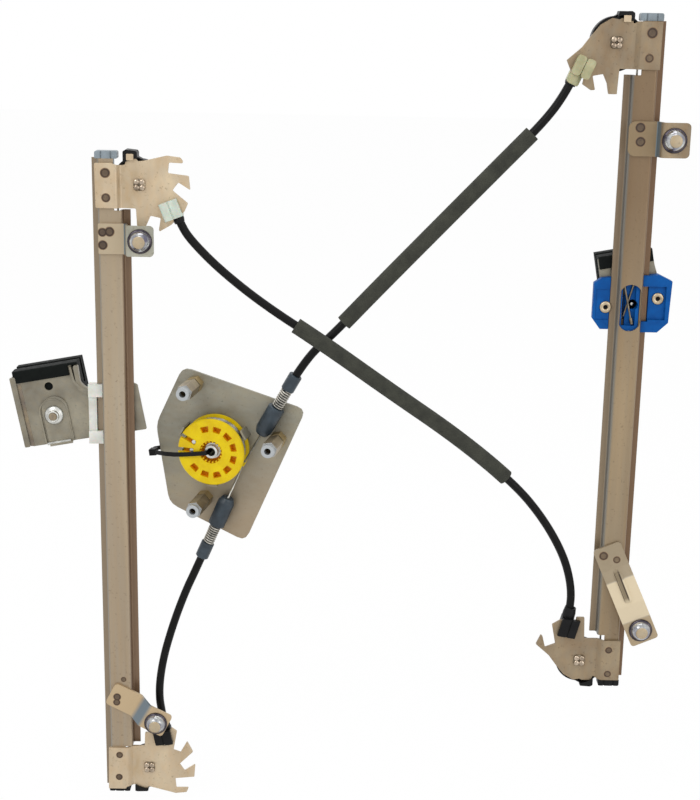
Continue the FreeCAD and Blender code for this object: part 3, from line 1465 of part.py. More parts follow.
def crossed_cable_ends():
    """Trimmed cable ends lying crossed in the tray of the right slider, one with its nipple."""
    ends = []
    for depth, (start_x, start_z), (end_x, end_z) in crossed_ends:
        start = Vector(rail_x["right"] + start_x, rail_face_y + depth, start_z)
        run = Vector(rail_x["right"] + end_x, rail_face_y + depth, end_z) - start
        ends.append(Part.makeCylinder(wire_radius, run.Length, start, run))
    # The nipple closes the front cable, which is the first in the list.
    depth, (start_x, start_z), (end_x, end_z) = crossed_ends[0]
    foot = Vector(rail_x["right"] + end_x, rail_face_y + depth, end_z)
    run = foot - Vector(rail_x["right"] + start_x, rail_face_y + depth, start_z)
    run.normalize()
    nipple = Part.makeCylinder(crossed_nipple_radius, crossed_nipple_length, foot - run, run)
    ends[0] = ends[0].fuse(nipple).removeSplitter()
    keep("crossed_cable_ends", Part.makeCompound(ends))


def slider_rivets():
    """Hollow rivets that hold the right slider's wings to its carrier plate."""
    rivets = []
    for reach, floor in ((-right_rivet_reach, right_inner_face + 0.6), (right_rivet_reach, right_pocket_face)):
        foot = carrier_depth + carrier_sheet
        neck = rivet_neck_radius - 0.02
        profile = [
            (rivet_bore_radius, floor - rivet_flange_height), (rivet_flange_radius - 1.0, floor - rivet_flange_height),
            (rivet_flange_radius, floor - 0.5), (rivet_flange_radius, floor), (neck, floor), (neck, foot),
            (neck + 1.2, foot), (neck + 0.9, foot + 0.9), (rivet_bore_radius, foot + 0.9),
        ]
        centre = clamp_space("right", 0.0)(reach, 0.7)
        rivets.append(revolved(profile, centre, away, Vector(1, 0, 0)))
    keep("right_slider_rivets", Part.makeCompound(rivets))


def left_slider():
    """Nylon slider: two jaws over the outer flange, a column beside it and a block in the channel."""
    low = left_slider_bottom
    high = low + left_slider_height
    back = carrier_depth
    edge = half_rail + slide_edge_gap
    front = flange_depth - slide_gap
    rear = rail_depth + slide_gap
    shape = rail_box("left", -left_slider_reach, -edge, slide_front_depth + 1.6, back, low, high)
    for start in (low, high - left_slider_jaw):
        shape = shape.fuse(rail_box("left", -left_slider_reach, -edge, slide_front_depth, back, start, start + left_slider_jaw))
        shape = shape.fuse(rail_box("left", -edge - 1.0, -left_slider_lip, slide_front_depth, front, start, start + left_slider_jaw))
    block_low = (low + high - left_block_height) / 2.0
    block_high = block_low + left_block_height
    shape = shape.fuse(rail_box("left", -edge - 1.0, half_rail - 2.0, rear, back, block_low, block_high))
    wall = half_web - rail_sheet - channel_gap
    shape = shape.fuse(rail_box("left", -wall, wall, rail_sheet + channel_gap, rear + 0.5, block_low, block_high))
    shape = shape.cut(wire_groove("left", block_low - 1.0, block_high + 1.0))
    keep("left_slider", shape.removeSplitter())


def right_slider():
    """Moulded slider: chamfered wings either side of the rail, jaws over the outer flange, block in the channel."""
    low, high = right_slider_z
    back = carrier_depth
    edge = half_rail + slide_edge_gap
    front = flange_depth - slide_gap
    rear = rail_depth + slide_gap
    chamfer = right_slider_chamfer
    at = Vector(rail_x["right"], rail_face_y, 0.0)

    def flat(depth):
        def to_space(dx, z):
            return at + away * depth + Vector(dx, 0, z)
        return to_space

    inner_wing = [
        (-edge, low), (-edge, high - 2.0), (-right_slider_inner + 5.5, high - 2.6), (-right_slider_inner, high - 6.5),
        (-right_slider_inner, low + 8.0), (-right_slider_inner + 6.0, low),
    ]
    shape = prism(inner_wing, flat(right_inner_face), away * (back - right_inner_face))
    panel = [
        (-edge + 1.0, low + 7.0), (-edge + 1.0, high - 11.0), (-right_slider_inner + 2.0, high - 11.0),
        (-right_slider_inner + 2.0, low + 7.0),
    ]
    shape = shape.cut(prism(panel, flat(right_inner_face - 1.0), away * 1.6))
    outer_wing = [
        (edge, low - 1.4), (edge, high), (right_slider_outer - 10.0, high + 0.8), (right_slider_outer, high - 4.0),
        (right_slider_outer - 1.2, low + 6.0), (right_slider_outer - 9.0, low - 1.4),
    ]
    outer = prism(outer_wing, flat(slide_front_depth), away * (back - slide_front_depth))
    pocket = [
        (edge - 1.0, low + right_slider_jaw), (edge - 1.0, high - right_slider_jaw),
        (right_slider_outer - 4.0, high - right_slider_jaw), (right_slider_outer - 4.0, low + right_slider_jaw),
    ]
    outer = outer.cut(prism(pocket, flat(slide_front_depth - 1.0), away * (right_pocket_face - slide_front_depth + 1.0)))
    shape = shape.fuse(outer)
    for start in (low - 1.4, high - right_slider_jaw):
        shape = shape.fuse(rail_box("right", -left_slider_lip, -edge - 1.0, slide_front_depth, front, start, start + right_slider_jaw))
    shape = shape.fuse(rail_box("right", -edge - 1.0, edge + 1.0, rear, back, low, high - 2.0))
    wall = half_web - rail_sheet - channel_gap
    shape = shape.fuse(rail_box("right", -wall, wall, right_face_depth, rear + 0.5, low, high))
    # Shallow tray for the crossed cable ends, then the well round the clamp bolt.
    shape = shape.cut(rail_box("right", -wall + 2.6, wall - 0.9, right_face_depth - 1.0, right_recess_depth, low + 4.0, high - 2.0))
    shape = shape.cut(wire_groove("right", low - 1.0, high + 1.0))
    well = clamp_space("right", 0.0)(0.0, 0.0)
    shape = shape.cut(Part.makeCylinder(bolt_well_radius, 60.0, well, away))
    nut_room = Part.makeCylinder(nut_flange_radius["right"] + 0.3, 60.0, well + away * bolt_well_floor, away)
    shape = shape.cut(nut_room)
    for reach in (-right_rivet_reach, right_rivet_reach):
        shape = shape.cut(Part.makeCylinder(rivet_neck_radius + 0.05, 60.0, clamp_space("right", -20.0)(reach, 0.7), away))
    keep("right_slider", shape.removeSplitter())


for rail_side in ("left", "right"):
    rail(rail_side)
for rail_side, rail_end in rail_ends:
    end_bracket(rail_side, rail_end)
    pulley(rail_side, rail_end)
    pulley_cover(rail_side, rail_end)
    cable_fitting(rail_side, rail_end)
keep("pulley_pins", Part.makeCompound([pulley_pin(*place) for place in rail_ends]))
keep("sheath_ferrules", Part.makeCompound([sheath_ferrule(*place) for place in rail_ends]))
keep("upper_end_stops", Part.makeCompound([end_stop(rail_side, "upper") for rail_side in ("left", "right")]))
keep("lower_end_stops", Part.makeCompound([end_stop(rail_side, "lower") for rail_side in ("left", "right")]))
mount_studs = []
for rail_side in ("left", "right"):
    mount_studs.append(upper_mount(rail_side))
    mount_studs.append(lower_mount(rail_side))
keep("mount_studs", Part.makeCompound(mount_studs))

motor_plate()
keep("plate_spacers", tilted(Part.makeCompound([plate_spacer(x, z) for x, z in spacer_places])))
hub_axle()
cable_drum()
drum_windings()
drum_cable_ends()
hub_tie()

tensioner_parts = [tensioner("upper"), tensioner("lower")]
keep("tensioner_bodies", Part.makeCompound([parts[0] for parts in tensioner_parts]))
keep("tensioner_springs", Part.makeCompound([parts[1] for parts in tensioner_parts]))
keep("tensioner_collars", Part.makeCompound([parts[2] for parts in tensioner_parts]))

crossover_path = sheath("crossover", crossover_route)
upper_path = sheath("upper", upper_route)
lower_path = sheath("lower", lower_route)
foam = [foam_sleeve("crossover", crossover_path, 4, 8), foam_sleeve("upper", upper_path, 2, 5)]
keep("foam_sleeves", Part.makeCompound(foam))
cable_wires(crossover_path, upper_path, lower_path)

for rail_side in ("left", "right"):
    carrier_plate(rail_side)
    glass_grip(rail_side)
    clamp_jaw(rail_side)
    clamp_bolt(rail_side)
    clamp_nut(rail_side)
    wire_nipples(rail_side)
left_slider()
right_slider()
crossed_cable_ends()
slider_rivets()

os.makedirs("parts", exist_ok=True)
for name, shape in pieces.items():
    shape.exportStep(os.path.join("parts", name + ".step"))
    if not shape.isValid():
        print("not valid:", name)
print(len(pieces), "nodes")
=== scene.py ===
import bmesh
import bpy
import math
from mathutils import Matrix, Vector


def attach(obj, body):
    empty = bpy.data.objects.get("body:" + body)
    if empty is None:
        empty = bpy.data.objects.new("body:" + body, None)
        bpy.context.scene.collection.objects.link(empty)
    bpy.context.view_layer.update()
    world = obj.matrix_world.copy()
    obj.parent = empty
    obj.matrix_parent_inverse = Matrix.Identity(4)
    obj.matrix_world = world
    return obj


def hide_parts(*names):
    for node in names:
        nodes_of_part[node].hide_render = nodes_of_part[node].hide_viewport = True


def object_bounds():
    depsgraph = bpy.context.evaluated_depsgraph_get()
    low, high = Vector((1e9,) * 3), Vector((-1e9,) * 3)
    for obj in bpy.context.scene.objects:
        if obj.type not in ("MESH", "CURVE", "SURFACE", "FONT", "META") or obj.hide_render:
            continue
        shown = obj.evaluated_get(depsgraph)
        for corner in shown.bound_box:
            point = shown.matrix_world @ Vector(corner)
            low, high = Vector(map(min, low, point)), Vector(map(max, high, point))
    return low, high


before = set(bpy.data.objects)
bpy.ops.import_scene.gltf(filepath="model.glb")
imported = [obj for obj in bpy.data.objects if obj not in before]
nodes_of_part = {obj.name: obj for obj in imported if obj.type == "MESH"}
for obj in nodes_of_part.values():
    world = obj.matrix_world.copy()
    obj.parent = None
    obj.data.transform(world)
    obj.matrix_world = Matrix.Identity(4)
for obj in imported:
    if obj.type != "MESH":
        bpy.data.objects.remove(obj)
cad_low, cad_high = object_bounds()

# Driving sizes and places in millimetres: x across the door, y away from the viewer, z up
LEFT_RAIL_X = -75.5
LEFT_RAIL_TOP = 220.0
RIGHT_RAIL_X = 307.0
RIGHT_RAIL_TOP = 323.0
STRIP_FACE_Y = -22.2
FAN_FACE_Y = -18.2
STAKED_FACE_Y = -19.1
STUD_FACE_Y = -32.2
ROUTE_END_Y = -13.2
SHEET = 2.0
SHEATH_RADIUS = 3.15
FOAM_RADIUS = 6.0
PITCH_RADIUS = 16.6
LEFT_CLAMP = Vector((-123.1, 0.0, 24.6))
RIGHT_CLAMP = Vector((309.3, 0.0, 119.4))

# The plate is turned about the vertical; the clamps, the tie and a fitting are turned about the depth axis
PLATE_TILT = math.radians(10.5)
CLAMP_TILT = math.radians(10.6)
TIE_TILT = math.radians(7.5)
FITTING_LEAN = math.radians(23.0)
plain_frame = Matrix.Identity(4)
plate_frame = Matrix.Rotation(-PLATE_TILT, 4, "Z")
tie_frame = plate_frame @ Matrix.Rotation(-TIE_TILT, 4, "Y")
left_clamp_frame = Matrix.Translation(LEFT_CLAMP) @ Matrix.Rotation(-CLAMP_TILT, 4, "Y")
right_clamp_frame = Matrix.Translation(RIGHT_CLAMP) @ Matrix.Rotation(-CLAMP_TILT, 4, "Y")
fitting_frame = Matrix.Translation(Vector((270.1, 0.0, 312.7))) @ Matrix.Rotation(FITTING_LEAN, 4, "Y")

# The body that is fixed to the door
FIXED = "rails_and_plate"


# Colours and finishes

def colour(red, green, blue):
    """Colour written as it looks on a screen, 0 to 255, in the linear values that shaders take."""
    linear = []
    for value in (red, green, blue):
        share = value / 255.0
        linear.append(share / 12.92 if share <= 0.04045 else ((share + 0.055) / 1.055) ** 2.4)
    return (linear[0], linear[1], linear[2], 1.0)


class Nodes:
    """Short calls that add nodes to a tree and set or link their inputs."""

    def __init__(self, tree):
        self.tree = tree

    def feed(self, socket, value):
        if isinstance(value, bpy.types.NodeSocket):
            self.tree.links.new(value, socket)
        else:
            socket.default_value = value

    def node(self, kind, settings=None, **inputs):
        made = self.tree.nodes.new(kind)
        for key, value in (settings or {}).items():
            setattr(made, key, value)
        for key, value in inputs.items():
            self.feed(made.inputs[key.replace("_", " ")], value)
        return made

    def maths(self, operation, first, second=0.0):
        made = self.node("ShaderNodeMath", {"operation": operation})
        self.feed(made.inputs[0], first)
        self.feed(made.inputs[1], second)
        return made.outputs[0]

    def seen(self):
        """One for what the camera sees, straight, in a reflection or through something clear."""
        path = self.node("ShaderNodeLightPath").outputs
        reflected = self.maths("MAXIMUM", path["Is Camera Ray"], path["Is Glossy Ray"])
        return self.maths("MAXIMUM", reflected, path["Is Transmission Ray"])

    def mix_shaders(self, share, first, second, output):
        """Two shaders mixed by a share, into the surface of an output node."""
        mix = self.node("ShaderNodeMixShader")
        for socket, source in zip(mix.inputs, (share, first, second)):
            self.tree.links.new(source, socket)
        self.tree.links.new(mix.outputs[0], self.tree.nodes[output].inputs["Surface"])


class Finish(Nodes):
    """A material in the making: a principled shader and short calls that add patterns to it."""

    def __init__(self, name):
        self.material = bpy.data.materials.new(name)
        self.material.use_nodes = True
        super().__init__(self.material.node_tree)
        self.shader = self.tree.nodes["Principled BSDF"]
        self.place = self.node("ShaderNodeTexCoord").outputs["Object"]

    def stretched(self, scale):
        return self.node("ShaderNodeMapping", Vector=self.place, Scale=scale).outputs["Vector"]

    def noise(self, scale, detail=3.0, place=None):
        made = self.node("ShaderNodeTexNoise", Vector=place or self.place, Scale=scale, Detail=detail)
        return made.outputs["Fac"]

    def ramp(self, value, *stops):
        made = self.node("ShaderNodeValToRGB", Fac=value)
        for point, (position, shade) in zip(made.color_ramp.elements, stops):
            point.position = position
            point.color = shade
        for position, shade in stops[2:]:
            made.color_ramp.elements.new(position).color = shade
        return made.outputs["Color"]

    def along(self, direction):
        """Distance of a place along a direction, in metres."""
        made = self.node("ShaderNodeVectorMath", {"operation": "DOT_PRODUCT"})
        self.feed(made.inputs[0], self.place)
        self.feed(made.inputs[1], direction)
        return made.outputs["Value"]

    def between(self, value, low, high, from_low=0.3, from_high=0.7):
        made = self.node(
            "ShaderNodeMapRange", Value=value, From_Min=from_low, From_Max=from_high, To_Min=low, To_Max=high)
        return made.outputs["Result"]

    def mixed(self, share, first, second):
        made = self.node("ShaderNodeMix", {"data_type": "RGBA"})
        self.feed(made.inputs[0], share)
        self.feed(made.inputs[6], first)
        self.feed(made.inputs[7], second)
        return made.outputs[2]

    def soft_edges(self, radius):
        return self.node("ShaderNodeBevel", {"samples": 4}, Radius=radius).outputs["Normal"]

    def bump(self, height, strength, distance, normal=None):
        made = self.node("ShaderNodeBump", Height=height, Strength=strength, Distance=distance)
        if normal is not None:
            self.feed(made.inputs["Normal"], normal)
        return made.outputs["Normal"]

    def band(self, value, low, high, edge):
        """One between two places, with soft edges of the given width."""
        rise = self.between(value, 0.0, 1.0, low - edge, low)
        return self.maths("MULTIPLY", rise, self.between(value, 1.0, 0.0, high, high + edge))

    def close(self, base, roughness, normal, **sockets):
        self.feed(self.shader.inputs["Base Color"], base)
        self.feed(self.shader.inputs["Roughness"], roughness)
        self.feed(self.shader.inputs["Normal"], normal)
        for key, value in sockets.items():
            self.feed(self.shader.inputs[key.replace("_", " ")], value)
        return self.material


def passivated_steel(name, tints, streak=(1.0, 1.0, 1.0), rough=(0.3, 0.46), metallic=0.4, tone=None):
    """Yellow zinc plating: cloudy tints that run with the rolling direction, fine scratches, soft edges."""
    made = Finish(name)
    cloud = made.noise(55.0, 4.0, made.stretched(streak))
    base = made.ramp(cloud, (0.3, colour(*tints[0])), (0.5, colour(*tints[1])), (0.7, colour(*tints[2])))
    film = made.noise(260.0, 2.0, made.stretched(streak))
    base = made.mixed(made.between(film, 0.0, 0.4), base, colour(*tints[3]))
    specks = made.noise(520.0, 4.0)
    base = made.mixed(
        made.between(specks, 0.0, 0.5, 0.62, 0.74), base, colour(*[0.72 * value for value in tints[0]]))
    if tone is not None:
        base = tone(made, base)
    scratches = made.noise(1400.0, 3.0, made.stretched((1.0, 1.0, 0.03)))
    grain = made.noise(2600.0, 2.0)
    roughness = made.between(cloud, rough[0], rough[1])
    normal = made.bump(scratches, 0.12, 0.00008, made.soft_edges(0.0003))
    normal = made.bump(grain, 0.1, 0.00005, normal)
    return made.close(base, roughness, normal, Metallic=metallic)


def rail_tone_and_painted_light(rail_x, upper_tint):
    """Painted reflection: a bluish strip by one wall; painted shade: the brown bent wall on the other side;
    also a darker flange and another tint towards the top.
    """
    centre = rail_x * 0.001

    def tone(made, base):
        across = made.along((1.0, 0.0, 0.0))
        height = made.along((0.0, 0.0, 1.0))
        base = made.mixed(made.between(height, 0.0, 0.75, 0.05, 0.2), base, colour(*upper_tint))
        flange = made.between(across, 0.6, 0.0, centre - 0.0090, centre - 0.0084)
        base = made.mixed(flange, base, colour(134, 118, 98))
        # Painted reflection: a bluish grey strip by the left wall
        painted_reflection_strip = made.between(across, 0.75, 0.0, centre - 0.0086, centre - 0.0072)
        inner = made.between(across, 0.0, 1.0, centre - 0.0096, centre - 0.0088)
        base = made.mixed(made.maths("MULTIPLY", painted_reflection_strip, inner), base, colour(116, 122, 122))
        # Painted shade: the bent wall on the right side is browner
        painted_wall_shade = made.between(across, 0.0, 0.8, centre + 0.0080, centre + 0.0088)
        return made.mixed(painted_wall_shade, base, colour(112, 84, 60))

    return tone


def plain_metal(name, dark, light, rough=(0.25, 0.4), grain=900.0, metallic=1.0):
    """Bright or turned steel with faint machining marks."""
    made = Finish(name)
    cloud = made.noise(180.0, 3.0)
    base = made.ramp(cloud, (0.3, dark), (0.7, light))
    marks = made.noise(grain, 3.0)
    normal = made.bump(marks, 0.15, 0.00006, made.soft_edges(0.0002))
    return made.close(base, made.between(marks, rough[0], rough[1]), normal, Metallic=metallic)


def moulded_plastic(name, dark, light, rough=(0.35, 0.5), scale=120.0, edge=0.0003, tone=None, **sockets):
    """Moulded plastic: slight colour drift, matt flow marks and rounded edges."""
    made = Finish(name)
    cloud = made.noise(scale, 3.0)
    base = made.ramp(cloud, (0.3, dark), (0.7, light))
    if tone is not None:
        base = tone(made, base)
    skin = made.noise(1800.0, 3.0)
    normal = made.bump(skin, 0.12, 0.00006, made.soft_edges(edge))
    return made.close(base, made.between(made.noise(300.0, 2.0), rough[0], rough[1]), normal, **sockets)


def spacer_tone(made, base):
    """Gold foot, dark neck, tan body and silver nose, by the height above the plate."""
    height = made.along((-math.sin(PLATE_TILT), -math.cos(PLATE_TILT), 0.0))
    foot = made.between(height, 1.0, 0.0, 0.0089, 0.0092)
    base = made.mixed(foot, base, colour(168, 146, 100))
    neck = made.between(height, 1.0, 0.0, 0.0104, 0.0108)
    base = made.mixed(made.maths("SUBTRACT", neck, foot), base, colour(60, 52, 44))
    nose = made.between(height, 0.0, 1.0, 0.0317, 0.0321)
    return made.mixed(nose, base, colour(178, 182, 184))


def drum_painted_recess_shade(made, base):
    """Painted shade: deeper orange inside the pockets and the hub, by depth and distance from the axis."""
    depth = made.along((math.sin(PLATE_TILT), math.cos(PLATE_TILT), 0.0))
    inside = made.between(depth, 0.0, 0.8, -0.0184, -0.0165)
    across = made.along((math.cos(PLATE_TILT), -math.sin(PLATE_TILT), 0.0))
    flat = made.node("ShaderNodeCombineXYZ", X=across, Y=made.along((0.0, 0.0, 1.0)))
    radius = made.node("ShaderNodeVectorMath", {"operation": "LENGTH"}, Vector=flat.outputs[0])
    near = made.between(radius.outputs["Value"], 1.0, 0.0, 0.0212, 0.0220)
    return made.mixed(made.maths("MULTIPLY", inside, near), base, colour(246, 168, 0))


def mount_tone_and_bend_reflection(rail_x, strip_tint):
    """Tan strip on the rail, a painted bluish reflection on the bend, and greenish silver tab."""
    bend = rail_x * 0.001 + 0.0100

    def tone(made, base):
        across = made.along((1.0, 0.0, 0.0))
        base = made.mixed(made.between(across, 0.8, 0.0, bend, bend + 0.0004), base, colour(*strip_tint))
        # Painted reflection: the bend is bluish
        start = made.between(across, 0.0, 1.0, bend, bend + 0.0004)
        past = made.between(across, 1.0, 0.0, bend + 0.0018, bend + 0.0026)
        return made.mixed(made.maths("MULTIPLY", start, past), base, colour(104, 118, 126))

    return tone


def strap_tone_and_painted_light(made, base):
    """Painted light and shade on the right strap's facets and a painted shadow along its rib; tan ends and a
    painted bluish reflection on the left one's bend.
    """
    length = made.along((0.389, 0.0, -0.921))
    aside = made.along((0.921, 0.0, 0.389))
    # Painted light and shade: the right strap's facets are darker, bright and mid tan by band
    base = made.mixed(made.between(length, 0.75, 0.0, 0.2072, 0.2088), base, colour(150, 132, 104))
    base = made.mixed(made.band(length, 0.2088, 0.2400, 0.001), base, colour(214, 198, 168))
    base = made.mixed(made.between(length, 0.0, 0.8, 0.2402, 0.2416), base, colour(172, 150, 116))
    # Painted shadow in and along the right strap's pressed rib
    rib = made.band(length, 0.2040, 0.2215, 0.004)
    fill = made.maths("MULTIPLY", made.band(aside, 0.2490, 0.2510, 0.0009), rib)
    base = made.mixed(fill, base, colour(132, 118, 94))
    rib_painted_left_shade = made.maths("MULTIPLY", made.band(aside, 0.2481, 0.2484, 0.0004), rib)
    base = made.mixed(rib_painted_left_shade, base, colour(92, 78, 58))
    rib_painted_right_shadow = made.maths("MULTIPLY", made.band(aside, 0.2513, 0.2519, 0.0005), rib)
    base = made.mixed(rib_painted_right_shadow, base, colour(60, 48, 36))
    slant = made.along((0.868, 0.0, -0.496))
    base = made.mixed(made.between(slant, 0.9, 0.0, 0.15, 0.2), base, colour(194, 170, 134))
    # Painted reflection: a bluish band on the left strap's bend
    return made.mixed(made.band(slant, 0.0520, 0.0565, 0.003), base, colour(112, 124, 132))


def plate_tone(made, base):
    """Browner towards the lower corner."""
    height = made.along((-0.35, 0.0, 0.94))
    return made.mixed(made.between(height, 0.6, 0.0, -0.065, 0.0), base, colour(166, 142, 112))


LEFT_RAIL = [(148, 128, 102), (168, 148, 121), (184, 167, 140), (158, 152, 140)]
RIGHT_RAIL = [(130, 107, 78), (150, 128, 97), (166, 145, 114), (140, 131, 114)]
LIGHT_TAN = [(182, 158, 124), (199, 176, 144), (214, 194, 162), (190, 180, 160)]
DARK_TAN = [(128, 106, 80), (147, 126, 98), (164, 144, 114), (138, 130, 114)]
GREEN_GREY = [(146, 142, 124), (168, 164, 146), (186, 182, 164), (168, 172, 164)]
PLATE_GREY = [(130, 124, 108), (146, 140, 124), (160, 152, 130), (150, 152, 142)]
PALE_STRAP = [(160, 150, 130), (184, 174, 154), (204, 196, 178), (176, 172, 160)]
WARM_STEEL = [(112, 100, 84), (150, 134, 106), (178, 162, 128), (110, 104, 108)]

left_rail_steel = passivated_steel(
    "left rail steel", LEFT_RAIL, (1.0, 1.0, 0.04), tone=rail_tone_and_painted_light(LEFT_RAIL_X, (154, 136, 112)))
right_rail_steel = passivated_steel(
    "right rail steel", RIGHT_RAIL, (1.0, 1.0, 0.04), tone=rail_tone_and_painted_light(RIGHT_RAIL_X, (112, 88, 62)))
light_bracket_steel = passivated_steel("light bracket steel", LIGHT_TAN, (1.0, 1.0, 0.5))
dark_bracket_steel = passivated_steel("dark bracket steel", DARK_TAN, (1.0, 1.0, 0.5))
mount_steel = passivated_steel(
    "mount steel", GREEN_GREY, (1.0, 1.0, 0.5), tone=mount_tone_and_bend_reflection(LEFT_RAIL_X, (186, 166, 136)))
right_mount_steel = passivated_steel(
    "right mount steel", DARK_TAN, (1.0, 1.0, 0.5), tone=mount_tone_and_bend_reflection(RIGHT_RAIL_X, (140, 120, 90)))
strap_steel = passivated_steel("strap steel", PALE_STRAP, (1.0, 1.0, 0.6), tone=strap_tone_and_painted_light)
carrier_steel = passivated_steel(
    "carrier steel", [(118, 110, 94), (138, 130, 112), (160, 152, 132), (132, 132, 124)])
plate_steel = passivated_steel("plate steel", PLATE_GREY, (0.5, 1.0, 1.0), (0.36, 0.5), tone=plate_tone)
stud_steel = passivated_steel("stud steel", WARM_STEEL, rough=(0.22, 0.36))
spacer_steel = passivated_steel(
    "spacer steel", [(118, 104, 80), (150, 134, 106), (176, 162, 132), (100, 92, 78)], metallic=0.6,
    tone=spacer_tone)
weld_brown = passivated_steel(
    "weld brown", [(58, 44, 34), (78, 60, 46), (100, 82, 64), (50, 44, 42)], rough=(0.4, 0.6))
weld_halo = passivated_steel(
    "weld halo", [(126, 100, 74), (146, 120, 90), (120, 92, 66), (100, 84, 70)], rough=(0.4, 0.6))
weld_core = passivated_steel(
    "weld core", [(84, 68, 54), (108, 90, 70), (140, 120, 94), (76, 66, 60)], rough=(0.4, 0.6))
# Painted shadow: the dark outer ring of each stud head stands for the shade under the head
stud_shadow_ring = plain_metal("stud ring", colour(46, 42, 50), colour(92, 86, 92), (0.2, 0.3))
stud_dome = plain_metal("stud dome", colour(112, 110, 126), colour(206, 208, 204), (0.1, 0.2), 300.0)
staked_steel = plain_metal("staked steel", colour(110, 94, 78), colour(204, 188, 168), (0.16, 0.28), 500.0)
# Painted shade: darkened steel for the wire nipples inside the blue slider's slot
slot_shaded_steel = passivated_steel(
    "oiled steel", [(34, 28, 22), (46, 38, 30), (60, 50, 40), (42, 38, 34)], rough=(0.4, 0.6),
    metallic=0.2)
rivet_steel = plain_metal("rivet steel", colour(168, 150, 124), colour(206, 190, 162), (0.3, 0.42), 700.0)
# Painted shade: near-black for the inside of holes, laid on flat faces
painted_hole_shadow = moulded_plastic(
    "hole dark", colour(6, 6, 8), colour(14, 14, 16), (0.6, 0.8), Specular_IOR_Level=0.1)
stud_face = passivated_steel(
    "stud face", [(160, 142, 112), (180, 160, 128), (196, 178, 146), (170, 164, 148)], rough=(0.3, 0.4))
bright_steel = plain_metal("bright steel", colour(168, 168, 164), colour(226, 226, 220))
pin_steel = plain_metal("pin steel", colour(84, 76, 66), colour(140, 130, 112))
cable_steel = plain_metal("cable steel", colour(120, 118, 112), colour(206, 204, 196), (0.28, 0.45), 3000.0)
spring_steel = plain_metal("spring steel", colour(120, 118, 112), colour(200, 196, 186))
# Yellow plastic with painted orange shade in the pockets and the hub
drum_plastic = moulded_plastic(
    "drum plastic", colour(214, 180, 0), colour(228, 200, 0), (0.26, 0.38), tone=drum_painted_recess_shade,
    Specular_IOR_Level=0.25)
black_plastic = moulded_plastic(
    "black plastic", colour(7, 7, 8), colour(17, 17, 18), (0.35, 0.5), Specular_IOR_Level=0.2)
dark_plastic = moulded_plastic(
    "dark plastic", colour(26, 28, 28), colour(44, 46, 46), (0.4, 0.55), Specular_IOR_Level=0.25)
pale_plastic = moulded_plastic(
    "pale plastic", colour(182, 194, 182), colour(212, 220, 206), (0.3, 0.42), Subsurface_Weight=0.15,
    Subsurface_Scale=0.002)
green_plastic = moulded_plastic(
    "green plastic", colour(150, 146, 108), colour(186, 182, 144), (0.3, 0.42), Subsurface_Weight=0.15,
    Subsurface_Scale=0.002)
white_nylon = moulded_plastic(
    "white nylon", colour(206, 206, 196), colour(232, 232, 226), (0.3, 0.42), Subsurface_Weight=0.2,
    Subsurface_Scale=0.002)
blue_plastic = moulded_plastic(
    "blue plastic", colour(0, 72, 142), colour(0, 86, 160), (0.4, 0.55), Specular_IOR_Level=0.15)
stop_plastic = moulded_plastic("stop plastic", colour(112, 122, 128), colour(146, 158, 166), (0.3, 0.42))
grey_blue_plastic = moulded_plastic("grey blue plastic", colour(26, 38, 47), colour(50, 63, 73), (0.35, 0.5))
sheath_plastic = moulded_plastic(
    "sheath plastic", colour(7, 7, 7), colour(15, 14, 13), (0.35, 0.5), Specular_IOR_Level=0.16)
grip_rubber = moulded_plastic(
    "grip rubber", colour(4, 7, 6), colour(14, 18, 16), (0.6, 0.75), 60.0, Specular_IOR_Level=0.12)


def foam_finish():
    """Porous dark foam rubber: fine cells over wide faded patches."""
    made = Finish("foam")
    cells = made.noise(1500.0, 4.0)
    patches = made.noise(120.0, 3.0)
    base = made.ramp(patches, (0.3, colour(46, 47, 40)), (0.7, colour(66, 67, 57)))
    base = made.mixed(made.between(cells, 0.0, 0.4), base, colour(30, 31, 27))
    normal = made.bump(cells, 0.4, 0.0003)
    return made.close(base, 0.9, normal)


foam = foam_finish()

finish_of_node = {
    "cable_drum": drum_plastic, "drum_windings": cable_steel, "drum_cable_ends": bright_steel,
    "motor_plate": plate_steel, "plate_spacers": spacer_steel, "hub_axle": bright_steel,
    "hub_tie": black_plastic, "mount_studs": stud_steel, "pulley_pins": pin_steel,
    "sheath_ferrules": black_plastic, "upper_end_stops": stop_plastic, "lower_end_stops": black_plastic,
    "tensioner_bodies": grey_blue_plastic, "tensioner_collars": grey_blue_plastic,
    "tensioner_springs": spring_steel, "foam_sleeves": foam, "left_slider": white_nylon,
    "right_slider": blue_plastic,
    "right_slider_rivets": bright_steel, "right_wire_nipples": slot_shaded_steel, "crossed_cable_ends": pin_steel,
    "left_rail": left_rail_steel, "right_rail": right_rail_steel,
    "left_upper_end_bracket": light_bracket_steel, "left_lower_end_bracket": light_bracket_steel,
    "left_upper_mount_bracket": mount_steel, "right_upper_mount_bracket": right_mount_steel,
    "left_lower_mount_bracket": strap_steel, "right_lower_mount_bracket": strap_steel,
    "left_upper_cable_fitting": pale_plastic, "right_upper_cable_fitting": green_plastic,
    "left_lower_cable_fitting": black_plastic, "right_lower_cable_fitting": black_plastic,
}
finish_of_ending = {
    "_bracket": dark_bracket_steel, "_pulley": dark_plastic, "_pulley_cover": black_plastic,
    "_sheath": sheath_plastic, "_wire": cable_steel, "_nipples": bright_steel,
    "_carrier_plate": carrier_steel, "_glass_grip": grip_rubber, "_clamp_jaw": carrier_steel,
    "_clamp_bolt": stud_steel, "_clamp_nut": stud_steel,
}


def finish_for(node):
    """Finish of a node by its own name, or else by the end of its name."""
    if node in finish_of_node:
        return finish_of_node[node]
    for ending, finish in finish_of_ending.items():
        if node.endswith(ending):
            return finish
    raise KeyError(node)


# Shading of the solids: triangles are joined and only true edges stay sharp

